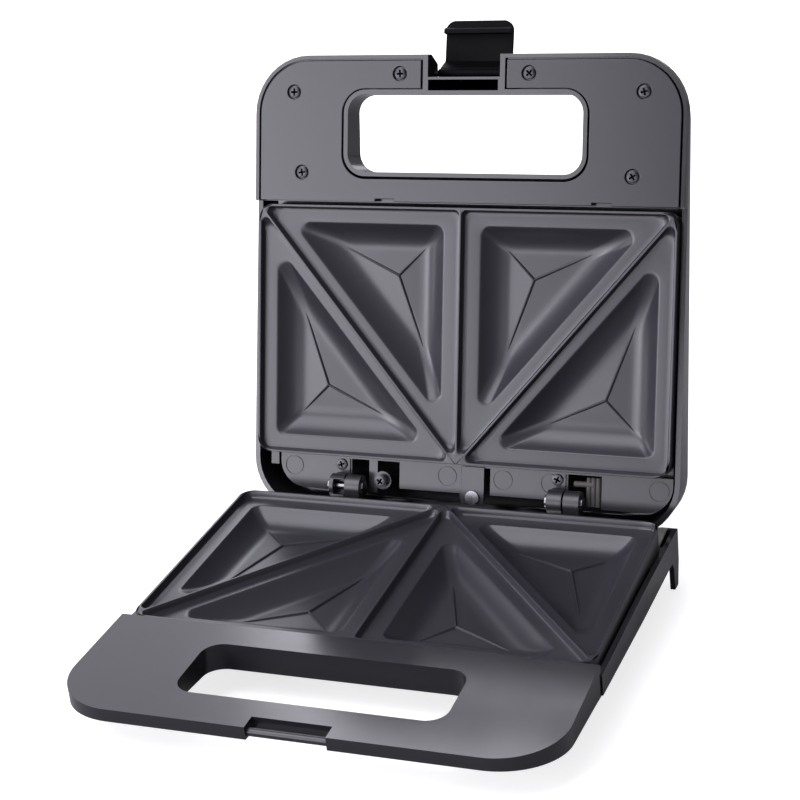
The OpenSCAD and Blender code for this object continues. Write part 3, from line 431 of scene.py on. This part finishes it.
def into_outline(point, inset, radius):
    """Pulls a point into the plate's round-cornered outline, drawn in by an inset."""
    x, y = point
    r = radius - inset
    half = PLATE_HALF_W - inset
    x = max(-half, min(half, x))
    y = max(PLATE_FRONT + inset, min(PLATE_BACK - inset, y))
    cx = math.copysign(PLATE_HALF_W - radius, x)
    cy = PLATE_FRONT + radius if y < (PLATE_FRONT + PLATE_BACK) / 2 else PLATE_BACK - radius
    beyond = abs(x) > abs(cx) and (y < cy if cy < (PLATE_FRONT + PLATE_BACK) / 2 else y > cy)
    off = Vector((x - cx, y - cy))
    if beyond and off.length > r:
        off = off.normalized() * r
        return (cx + off.x, cy + off.y)
    return (x, y)


# ---- cooking plates ----
def cell_profile(rib_h):
    """Cross-section from the top of a rim down to the land: (distance past the top, height)."""
    return ((-0.3, rib_h), (-0.1, rib_h - 0.05), (0.05, rib_h - 0.3), (0.38, 1.5), (0.6, 0.7),
            (1.0, 0.2), (1.7, 0.02), (3.2, 0.0))


WALL_WIDTH = 13.5
WALL_STEPS = 14
RIB_REACH = 0.56


def pocket_profile(depth):
    """Cross-section of a pocket's side: (distance in from its edge, height)."""
    lip = ((-0.9, 0.0), (-0.5, -0.04), (-0.1, -0.2), (0.2, -0.48))
    sweep = [k / WALL_STEPS for k in range(1, WALL_STEPS + 1)]
    return lip + tuple((lip[-1][0] + WALL_WIDTH * k, lip[-1][1] - (depth - 0.48) * (1 - (1 - k) ** 2.1))
                       for k in sweep)


def plate_cells(sizes):
    """The four cells of a plate as (cell triangle, rim widths per side, pocket triangle)."""
    rim, half_rib = sizes.rim_width, sizes.rim_width / 2
    diag_low, diag_high = Vector((PLATE_HALF_W, PLATE_FRONT + 0.3)), Vector((0, PLATE_BACK + 0.6))
    front = ((0, PLATE_FRONT), (PLATE_HALF_W + 0.25, PLATE_FRONT), tuple(diag_high))
    back = (tuple(diag_low), (PLATE_HALF_W, PLATE_BACK), (0.5, PLATE_BACK))
    margin, middle = 8.2, 10.2
    front_pocket = inset_triangle(((0, PLATE_FRONT + rim), (PLATE_HALF_W, PLATE_FRONT + rim),
                                   tuple(diag_high)), (margin, margin, middle))
    inner_w, inner_back = PLATE_HALF_W - rim, PLATE_BACK - rim
    back_pocket = inset_triangle(((inner_w, diag_low.y), (inner_w, inner_back), (0, inner_back)),
                                 (margin, margin, margin))
    return ((front, (rim, half_rib, half_rib), front_pocket),
            (back, (rim, rim, half_rib), back_pocket))


def draw_cell(shape, cell, widths, pocket, sizes, mirror):
    """One cell: half a rim and half a rib all round, the land, the pocket and its floor."""
    flip = -1 if mirror else 1
    rings = []

    def put(points, z, hold=None):
        placed = [into_outline(p, hold, PLATE_CORNER) if hold is not None else p for p in points]
        rings.append(add_ring(shape, [(flip * p[0], p[1]) for p in placed], LAND + z))

    edge = 0.25
    put(soft_ring(cell, (0, 0, 0), 0.01), sizes.rim_height, edge)
    for past, z in cell_profile(sizes.rim_height):
        put(soft_ring(cell, [w + past for w in widths], CELL_CORNER + max(past, 0)), z,
            min(w for w in widths) + past if past < 1 else edge)
    for inward, z in pocket_profile(sizes.pocket_depth):
        put(scaled_ring(pocket, inward, POCKET_CORNER), z)
    centre, radius = incentre(pocket), in_radius(pocket)
    foot = pocket_profile(sizes.pocket_depth)[-1]
    floor_steps = 6
    for k in range(1, floor_steps):
        share = k / floor_steps
        inward = foot[0] + (radius - foot[0]) * share
        put(scaled_ring(pocket, inward, POCKET_CORNER), foot[1] + sizes.floor_rise * share)
    for low, high in zip(rings, rings[1:]):
        bridge(shape, low, high)
    apex = shape.verts.new((flip * centre.x, centre.y, LAND + foot[1] + sizes.floor_rise))
    last = rings[-1]
    for k in range(len(last)):
        shape.faces.new((last[k], last[(k + 1) % len(last)], apex))
    for corner in pocket:
        draw_floor_rib(shape, centre, Vector(corner), foot[1] + sizes.floor_rise, foot[1],
                       1 - foot[0] / radius, flip)


def draw_floor_rib(shape, centre, corner, z_top, z_low, flat, flip):
    """A low raised line from the middle of a pocket's floor towards a corner, fading out."""
    way = corner - centre
    reach = way.length
    way.normalize()
    across = Vector((-way.y, way.x))
    steps = 14
    rows = []
    for k in range(steps + 1):
        share = k / steps * RIB_REACH
        at = centre + way * (reach * share)
        fade = 1.0 - (k / steps) ** 2.5
        half, high = 0.35 + 0.5 * fade, 0.15 + 0.85 * fade
        ground = z_top + (z_low - z_top) * min(1.0, share / flat)
        section = ((-1.0, -0.4), (-0.7, 0.25 * high), (-0.35, 0.8 * high), (0, high),
                   (0.35, 0.8 * high), (0.7, 0.25 * high), (1.0, -0.4))
        row = []
        for a, b in section:
            spot = at + across * half * a
            row.append(shape.verts.new((flip * spot.x, spot.y, LAND + ground + b)))
        rows.append(row)
    for low, high in zip(rows, rows[1:]):
        bridge(shape, low, high)
    shape.faces.new(rows[0])
    shape.faces.new(list(reversed(rows[-1])))


def draw_plate(sizes):
    """A whole plate, upright, with its side walls and underside."""
    shape = bmesh.new()
    under_z, bulge_z = LAND - PLATE_SKIN, LAND - sizes.pocket_depth - 1.9
    loops = []
    for cell, widths, pocket in plate_cells(sizes):
        for mirror in (False, True):
            draw_cell(shape, cell, widths, pocket, sizes, mirror)
            flip = -1 if mirror else 1
            under = []
            for inward, z in ((0.5, under_z), (7.6, bulge_z)):
                ring = scaled_ring(pocket, inward, POCKET_CORNER)
                under.append(add_ring(shape, [(flip * p[0], p[1]) for p in ring], z))
            bridge(shape, *under)
            shape.faces.new(under[1])
            loops.append(under[0])
    top = LAND + sizes.rim_height
    side = ((0.25, top), (0.08, top - 0.07), (0.0, top - 0.3), (0.0, PLATE_BOTTOM),
            (2.0, PLATE_BOTTOM), (2.0, under_z))
    walls = []
    for g, z in side:
        outline = rounded_outline(PLATE_HALF_W - g, PLATE_FRONT + g, PLATE_BACK - g, PLATE_CORNER - g, 12)
        walls.append(add_ring(shape, outline, z))
    for low, high in zip(walls, walls[1:]):
        bridge(shape, low, high)
    loops.append(walls[-1])
    edges = [shape.edges.get((ring[k], ring[(k + 1) % len(ring)]))
             for ring in loops for k in range(len(ring))]
    bmesh.ops.triangle_fill(shape, use_beauty=True, edges=edges, normal=(0, 0, -1))
    return shape


# ---- screws, made by Geometry Nodes ----
def screw_tree():
    """A node tree that sets a cross-recess screw head on every point it is given."""
    tree = bpy.data.node_groups.new("cross_head_screws", "GeometryNodeTree")
    face = tree.interface
    face.new_socket("Points", in_out="INPUT", socket_type="NodeSocketGeometry")
    for name, value in (("Head radius", 2.9), ("Head height", 1.0), ("Recess length", 3.8),
                        ("Recess width", 1.0), ("Recess depth", 1.6)):
        face.new_socket(name, in_out="INPUT", socket_type="NodeSocketFloat").default_value = value
    face.new_socket("Seed", in_out="INPUT", socket_type="NodeSocketInt").default_value = 3
    face.new_socket("Material", in_out="INPUT", socket_type="NodeSocketMaterial")
    face.new_socket("Screws", in_out="OUTPUT", socket_type="NodeSocketGeometry")
    given = add_node(tree, "NodeGroupInput").outputs
    out = add_node(tree, "NodeGroupOutput")

    def scaled(source, factor):
        made = add_node(tree, "ShaderNodeMath", {1: factor}, {0: source}, operation="MULTIPLY")
        return made.outputs[0]

    shank = add_node(tree, "GeometryNodeMeshCylinder", {"Vertices": 36},
                     {"Radius": given["Head radius"], "Depth": given["Head height"]})
    crown = add_node(tree, "GeometryNodeMeshCone", {"Vertices": 36},
                     {"Radius Bottom": given["Head radius"],
                      "Radius Top": scaled(given["Head radius"], 0.8),
                      "Depth": scaled(given["Head height"], 0.3)})
    lift = add_node(tree, "ShaderNodeCombineXYZ", None, {"Z": scaled(given["Head height"], 0.5)})
    crown_up = add_node(tree, "GeometryNodeTransform", None,
                        {"Geometry": crown.outputs["Mesh"], "Translation": lift.outputs[0]})
    head = add_node(tree, "GeometryNodeMeshBoolean", operation="UNION")
    tree.links.new(shank.outputs["Mesh"], head.inputs["Mesh 2"])
    tree.links.new(crown_up.outputs["Geometry"], head.inputs["Mesh 2"])
    sink = scaled(given["Recess depth"], 2.0)
    top = add_node(tree, "ShaderNodeMath", None,
                   {0: scaled(given["Head height"], 0.8), 1: given["Recess depth"]},
                   operation="SUBTRACT")
    top_half = add_node(tree, "ShaderNodeMath", None, {0: top.outputs[0], 1: given["Recess depth"]},
                        operation="ADD")
    cut = head.outputs["Mesh"]
    for first, second in (("Recess length", "Recess width"), ("Recess width", "Recess length")):
        size = add_node(tree, "ShaderNodeCombineXYZ", None,
                        {"X": given[first], "Y": given[second], "Z": sink})
        bar = add_node(tree, "GeometryNodeMeshCube", None, {"Size": size.outputs[0]})
        place = add_node(tree, "ShaderNodeCombineXYZ", None, {"Z": top_half.outputs[0]})
        bar_up = add_node(tree, "GeometryNodeTransform", None,
                          {"Geometry": bar.outputs["Mesh"], "Translation": place.outputs[0]})
        less = add_node(tree, "GeometryNodeMeshBoolean", operation="DIFFERENCE")
        tree.links.new(cut, less.inputs["Mesh 1"])
        tree.links.new(bar_up.outputs["Geometry"], less.inputs["Mesh 2"])
        cut = less.outputs["Mesh"]
    turn = add_node(tree, "FunctionNodeRandomValue", {"Max": math.pi}, {"Seed": given["Seed"]},
                    data_type="FLOAT")
    spin = add_node(tree, "ShaderNodeCombineXYZ", None, {"Z": turn.outputs["Value"]})
    spread = add_node(tree, "GeometryNodeInstanceOnPoints", None,
                      {"Points": given["Points"], "Instance": cut, "Rotation": spin.outputs[0]})
    real = add_node(tree, "GeometryNodeRealizeInstances", None,
                    {"Geometry": spread.outputs["Instances"]})
    painted = add_node(tree, "GeometryNodeSetMaterial", None,
                       {"Geometry": real.outputs["Geometry"], "Material": given["Material"]})
    tree.links.new(painted.outputs["Geometry"], out.inputs["Screws"])
    return tree


def socket_id(tree, name):
    """The identifier of a tree's named input."""
    return next(i.identifier for i in tree.interface.items_tree
                if i.item_type == "SOCKET" and i.in_out == "INPUT" and i.name == name)


def grown(name, tree, points, values, matrix):
    """Runs a Geometry Nodes tree on points in millimetres and returns a plain mesh piece."""
    seed_mesh = bpy.data.meshes.new(name)
    seed_mesh.from_pydata(points, [], [])
    obj = bpy.data.objects.new(name, seed_mesh)
    bpy.context.scene.collection.objects.link(obj)
    modifier = obj.modifiers.new("grow", "NODES")
    modifier.node_group = tree
    for key, value in values.items():
        modifier[socket_id(tree, key)] = value
    apply_modifiers(obj)
    obj.data.transform(matrix)
    if matrix.determinant() < 0:
        obj.data.flip_normals()
    smooth_by_angle(obj, 30.0)
    return obj


FACE_DOWN = Matrix.Rotation(math.pi, 4, "X")     # a screw's head looks along -Z of the cooker's frame


def screws(name, node, slot, places, body_frame, body, size, seed):
    """A set of screw heads that look down out of a face; places are (x, y, z) of the face."""
    tree = bpy.data.node_groups.get("cross_head_screws") or screw_tree()
    points = [(x, -y, -z) for x, y, z in places]
    values = {"Head radius": size.radius, "Head height": size.height,
              "Recess length": size.radius * 1.3, "Recess width": size.radius * 0.34,
              "Recess depth": size.height * 1.6, "Seed": seed, "Material": LOOKS[slot]}
    obj = grown(name, tree, points, values, body_frame @ FACE_DOWN)
    return finish_piece(obj, body, slot, node)


# ---- property groups ----
class PlateSizes(bpy.types.PropertyGroup):
    """Sizes of a cooking plate."""
    rim_height: FloatProperty(name="Rim height", description="Rim above the land, mm",
                              default=4.0, min=2, max=6)
    rim_width: FloatProperty(name="Rim width", description="Width of rim and ribs at the top, mm",
                             default=1.15, min=0.6, max=3)
    pocket_depth: FloatProperty(name="Pocket depth", description="Pocket below the land, mm",
                                default=8.1, min=4, max=10)
    floor_rise: FloatProperty(name="Floor rise", default=0.8, min=0, max=5,
                              description="Middle of a pocket's floor above its edge, mm")


class Fasteners(bpy.types.PropertyGroup):
    """Sizes of a screw head."""
    radius: FloatProperty(name="Head radius", description="Radius of a screw's head, mm", default=2.9,
                          min=1.5, max=5)
    height: FloatProperty(name="Head height", description="Height of a screw's head, mm", default=1.0,
                          min=0.8, max=3)


class Finishes(bpy.types.PropertyGroup):
    """Colours that a user would change."""
    case_colour: FloatVectorProperty(name="Case", description="Colour of the two shells",
                                     subtype="COLOR_GAMMA", size=3, min=0, max=1,
                                     default=rgb_of("#1e1d21"))
    panel_colour: FloatVectorProperty(name="Panel", description="Colour of the lid handle's panel",
                                      subtype="COLOR_GAMMA", size=3, min=0, max=1,
                                      default=rgb_of("#222125"))
    plate_colour: FloatVectorProperty(name="Plates", description="Colour of the non-stick coating",
                                      subtype="COLOR_GAMMA", size=3, min=0, max=1,
                                      default=rgb_of("#2b2a2f"))


class StageSetup(bpy.types.PropertyGroup):
    """Floor, light and camera."""
    front_light: FloatProperty(name="Front light", description="Power of the soft lamp in front, W",
                               default=29.0, min=0, max=400)
    key_light: FloatProperty(name="Key light", description="Power of the smaller lamp at the left, W",
                             default=9.0, min=0, max=400)
    low_light: FloatProperty(name="Low light", description="Power of the low strip lamp in front, W",
                             default=14.0, min=0, max=400)
    side_light: FloatProperty(name="Side light", description="Power of the lamp at the left, W",
                              default=12.0, min=0, max=400)
    rear_light: FloatProperty(name="Rear light", description="Power of the soft lamp behind, W",
                              default=20.0, min=0, max=400)
    high_light: FloatProperty(name="High light", description="Power of the lamp high behind, W",
                              default=9.0, min=0, max=400)
    top_light: FloatProperty(name="Top light", description="Power of the soft lamp above, W",
                             default=30.0, min=0, max=400)
    sky: FloatProperty(name="Sky", description="Strength of the even light all round",
                       default=0.3, min=0, max=2)
    lens: FloatProperty(name="Lens", description="Focal length, mm", default=83.3, min=20, max=300)


class ToasterSettings(bpy.types.PropertyGroup):
    """Everything that the panel lists."""
    plate: PointerProperty(type=PlateSizes)
    screw: PointerProperty(type=Fasteners)
    finish: PointerProperty(type=Finishes)
    stage: PointerProperty(type=StageSetup)


# ---- operators ----
class PieceOperator:
    """What the operators that build pieces have in common."""
    bl_options = {"REGISTER", "UNDO"}

    def execute(self, context):
        if not LOOKS:
            make_looks(context.scene.toaster.finish)
        self.build(context.scene.toaster)
        return {"FINISHED"}


class TOASTER_OT_plates(PieceOperator, bpy.types.Operator):
    """Build the two cooking plates with their rims, ribs and pockets"""
    bl_idname = "toaster.plates"
    bl_label = "Cooking plates"

    def build(self, toaster):
        turned = Matrix.Translation((0, 0, 2 * MEETING)) @ Matrix.Diagonal((1, 1, -1, 1))
        for name, place, body in (("lower_plate", BASE, "base"), ("upper_plate", LID @ turned, "lid")):
            shape = draw_plate(toaster.plate)
            bmesh.ops.remove_doubles(shape, verts=shape.verts, dist=0.004)
            obj = mesh_piece(name + "_cast", remapped(shape, place), 26.0)
            finish_piece(obj, body, "plate_coating", name)


class TOASTER_OT_shells(PieceOperator, bpy.types.Operator):
    """Build the base shell, the lid shell and the covers with rounded edges"""
    bl_idname = "toaster.shells"
    bl_label = "Shells and covers"

    def build(self, toaster):
        for node, body, width in (("base_shell", "base", 0.9), ("lid_shell", "lid", 0.8),
                                  ("handle_cover", "base", 0.5), ("bottom_cover", "base", 0.7)):
            finish_piece(rounded_copy(node, width), body, "charcoal_plastic", node)


class TOASTER_OT_panel(PieceOperator, bpy.types.Operator):
    """Build the lid handle's panel and the lid's inner strip"""
    bl_idname = "toaster.handle_panel"
    bl_label = "Handle panel and strip"

    def build(self, toaster):
        panel = rounded_copy("lid_handle_panel", 0.3, gap=PANEL_GAP)
        finish_piece(panel, "lid", "panel_plastic", "lid_handle_panel")
        finish_piece(rounded_copy("lid_frame", 0.2), "lid", "panel_plastic", "lid_frame")
        finish_piece(rounded_copy("cable_tag", 0.2), "lid", "panel_plastic", "cable_tag")


class TOASTER_OT_latch(PieceOperator, bpy.types.Operator):
    """Build the latch and the catch bar"""
    bl_idname = "toaster.latch"
    bl_label = "Latch and catch bar"

    def build(self, toaster):
        finish_piece(rounded_copy("latch", 0.45), "latch", "black_plastic", "latch")
        finish_piece(rounded_copy("catch_bar", 0.3), "base", "panel_plastic", "catch_bar")


class TOASTER_OT_hinges(PieceOperator, bpy.types.Operator):
    """Build the hinge knuckles with rounded edges"""
    bl_idname = "toaster.hinges"
    bl_label = "Hinges"

    def build(self, toaster):
        for node, body in (("base_hinge_brackets", "base"), ("lid_hinge_knuckles", "lid")):
            finish_piece(rounded_copy(node, 0.6), body, "hinge_plastic", node)


class TOASTER_OT_screws(PieceOperator, bpy.types.Operator):
    """Build the visible screw heads"""
    bl_idname = "toaster.screws"
    bl_label = "Screws"

    def build(self, toaster):
        size = toaster.screw
        panel = [(s * x, y, 0.92) for s in (-1, 1) for x, y in ((34, 9.8), (92.2, 18.9), (87.5, 60))]
        screws("panel_screw_heads", "panel_screws", "black_screws", panel, LID, "lid", size, 5)
        strip = [(s * 58.7 - 5.8, PLATE_BACK + 4.9, 3.6) for s in (-1, 1)]
        strip.append((-41.3, PLATE_BACK + 11.8, -0.6))
        screws("hinge_screw_heads", "lid_hinge_screws", "steel", strip, LID, "lid", size, 11)


class TOASTER_OT_details(PieceOperator, bpy.types.Operator):
    """Give every CAD node that is shown as it is the material of its slot"""
    bl_idname = "toaster.details"
    bl_label = "Small and inner parts"

    def build(self, toaster):
        slots = {part["node"]: part["material_slot"] for part in frame["record"]["subparts"]}
        for name, obj in frame["nodes"].items():
            obj.data.materials.clear()
            obj.data.materials.append(LOOKS[slots[name]])


class TOASTER_OT_stage(bpy.types.Operator):
    """Build the floor, the lights and the camera"""
    bl_idname = "toaster.stage"
    bl_label = "Stage"
    bl_options = {"REGISTER", "UNDO"}

    def execute(self, context):
        setup = context.scene.toaster.stage
        build_floor()
        build_world(setup)
        for name, place, size in LAMPS:
            soft_lamp("lamp_" + name, place, LAMP_TARGET, size, getattr(setup, name + "_light"))
        build_camera(setup)
        context.scene.view_settings.view_transform = "Standard"
        return {"FINISHED"}


# ---- stage ----
WHITE = "#ffffff"
COOL = "#f6f5ff"
LAMP_TARGET = (0, 0, 0.11)
LAMPS = (    # name, place and size of each lamp, metres
    ("front", (-1.2, -1.7, 0.52), (1.7, 1.2)),
    ("key", (-1.4, -1.5, 0.55), (0.5, 0.45)),
    ("low", (-0.3, -2.1, 0.1), (3.2, 0.45)),
    ("side", (-2.1, -0.15, 0.55), (1.0, 1.0)),
    ("rear", (-0.95, 1.9, 1.3), (2.7, 1.8)),
    ("high", (-0.57, 1.67, 1.59), (0.9, 0.9)),
    ("top", (-0.6, -0.75, 1.5), (1.3, 1.3)),
)


def build_world(setup):
    """An even soft sky that the camera sees as plain white."""
    world = bpy.data.worlds.new("studio")
    bpy.context.scene.world = world
    world.use_nodes = True
    tree = world.node_tree
    tree.nodes.clear()
    seen = add_node(tree, "ShaderNodeLightPath").outputs["Is Camera Ray"]
    light = add_node(tree, "ShaderNodeBackground", {"Color": linear(COOL), "Strength": setup.sky})
    plain = add_node(tree, "ShaderNodeBackground", {"Color": linear(WHITE), "Strength": 1.0})
    mix = add_node(tree, "ShaderNodeMixShader", None,
                   {0: seen, 1: light.outputs[0], 2: plain.outputs[0]})
    out = add_node(tree, "ShaderNodeOutputWorld")
    tree.links.new(mix.outputs[0], out.inputs["Surface"])


def build_floor():
    """A wide pale table top under the feet, bright to the camera, that keeps the object's shadow; its front-left
    part glows in reflections only, a painted reflection on the object.
    """
    shape = bmesh.new()
    half, glow = 4.0, 0.75
    corners = ((-half, -half), (half, -half), (half, half), (-half, half))
    shape.faces.new([shape.verts.new((x, y, 0)) for x, y in corners])
    floor = mesh_piece("floor", shape)
    made = bpy.data.materials.new("painted_board")
    made.use_nodes = True
    tree = made.node_tree
    tree.nodes.clear()
    path = add_node(tree, "ShaderNodeLightPath")
    seen = path.outputs["Is Camera Ray"]
    spot = add_node(tree, "ShaderNodeTexCoord").outputs["Object"]
    away = add_node(tree, "ShaderNodeVectorMath", None, {0: spot}, operation="LENGTH").outputs["Value"]
    fade = add_node(tree, "ShaderNodeMapRange", {"From Min": 0.35, "From Max": 0.9, "To Min": glow,
                                                 "To Max": 1.1}, {"Value": away}).outputs["Result"]
    strength = add_node(tree, "ShaderNodeMath", None, {0: fade, 1: seen},
                        operation="MULTIPLY").outputs[0]
    # Painted reflection: only glossy rays see this glow, and it is strongest towards the front left.
    ahead = add_node(tree, "ShaderNodeVectorMath", {1: (-0.55, -0.83, 0)}, {0: spot},
                     operation="DOT_PRODUCT").outputs["Value"]
    sheen = add_node(tree, "ShaderNodeMapRange", {"From Min": 0.35, "From Max": 0.8, "To Max": 3.0},
                     {"Value": ahead}).outputs["Result"]
    glossy = path.outputs["Is Glossy Ray"]
    strength = add_node(tree, "ShaderNodeMath", None, {0: sheen, 1: glossy, 2: strength},
                        operation="MULTIPLY_ADD").outputs[0]
    # To the camera the board is paler than it is in the object's reflections and bounce light.
    pale = add_node(tree, "ShaderNodeMix", {"A": linear("#969696"), "B": linear("#c8c8c8")},
                    {"Factor": seen}, data_type="RGBA").outputs["Result"]
    board = add_node(tree, "ShaderNodeBsdfDiffuse", None, {"Color": pale})
    shine = add_node(tree, "ShaderNodeEmission", {"Color": linear(WHITE)}, {"Strength": strength})
    both = add_node(tree, "ShaderNodeAddShader", None, {0: board.outputs[0], 1: shine.outputs[0]})
    out = add_node(tree, "ShaderNodeOutputMaterial")
    tree.links.new(both.outputs[0], out.inputs["Surface"])
    floor.data.materials.append(made)


def soft_lamp(name, place, target, size, power):
    """A large rectangular area lamp that looks at a point."""
    data = bpy.data.lights.new(name, "AREA")
    data.shape = "RECTANGLE"
    data.size, data.size_y = size
    data.energy = power
    data.color = linear(COOL)[:3]
    lamp = bpy.data.objects.new(name, data)
    lamp.location = place
    lamp.rotation_euler = (Vector(target) - Vector(place)).to_track_quat("-Z", "Y").to_euler()
    bpy.context.scene.collection.objects.link(lamp)


CAMERA_PLACE = (0.29766, -0.76333, 0.38164)
CAMERA_TARGET = (0.00145, 0.0, 0.11570)
CAMERA_ROLL = -3.43
SENSOR_WIDTH = 36.0


def build_camera(setup):
    """The camera, with the small roll of a hand-held frame."""
    data = bpy.data.cameras.new("camera")
    data.lens = setup.lens
    data.sensor_width = SENSOR_WIDTH
    data.clip_start = 0.01
    camera = bpy.data.objects.new("camera", data)
    camera.location = CAMERA_PLACE
    look = (Vector(CAMERA_TARGET) - Vector(CAMERA_PLACE)).to_track_quat("-Z", "Y").to_matrix().to_4x4()
    turn = look @ Matrix.Rotation(math.radians(CAMERA_ROLL), 4, "Z")
    camera.rotation_euler = turn.to_euler()
    bpy.context.scene.collection.objects.link(camera)
    bpy.context.scene.camera = camera


# ---- panel and registration ----
class TOASTER_PT_main(bpy.types.Panel):
    """Lists the sizes, the colours and the pieces"""
    bl_label = "Sandwich toaster"
    bl_idname = "TOASTER_PT_main"
    bl_space_type = "VIEW_3D"
    bl_region_type = "UI"
    bl_category = "Toaster"

    def draw(self, context):
        toaster = context.scene.toaster
        for group in (toaster.plate, toaster.screw, toaster.finish, toaster.stage):
            box = self.layout.box()
            for name in group.bl_rna.properties.keys():
                if name not in ("rna_type", "name"):
                    box.prop(group, name)
        for operator in OPERATORS:
            self.layout.operator(operator.bl_idname)


OPERATORS = (TOASTER_OT_details, TOASTER_OT_plates, TOASTER_OT_shells, TOASTER_OT_panel, TOASTER_OT_latch,
             TOASTER_OT_hinges, TOASTER_OT_screws, TOASTER_OT_stage)
CLASSES = (PlateSizes, Fasteners, Finishes, StageSetup, ToasterSettings) + OPERATORS + (TOASTER_PT_main,)


def register():
    for item in CLASSES:
        bpy.utils.register_class(item)
    bpy.types.Scene.toaster = PointerProperty(type=ToasterSettings)


def unregister():
    del bpy.types.Scene.toaster
    for item in reversed(CLASSES):
        bpy.utils.unregister_class(item)


def main():
    """Builds every piece."""
    register()
    bpy.ops.toaster.details()
    bpy.ops.toaster.plates()
    bpy.ops.toaster.shells()
    bpy.ops.toaster.handle_panel()
    bpy.ops.toaster.latch()
    bpy.ops.toaster.hinges()
    bpy.ops.toaster.screws()
    bpy.ops.toaster.stage()


if __name__ == "__main__":
    main()
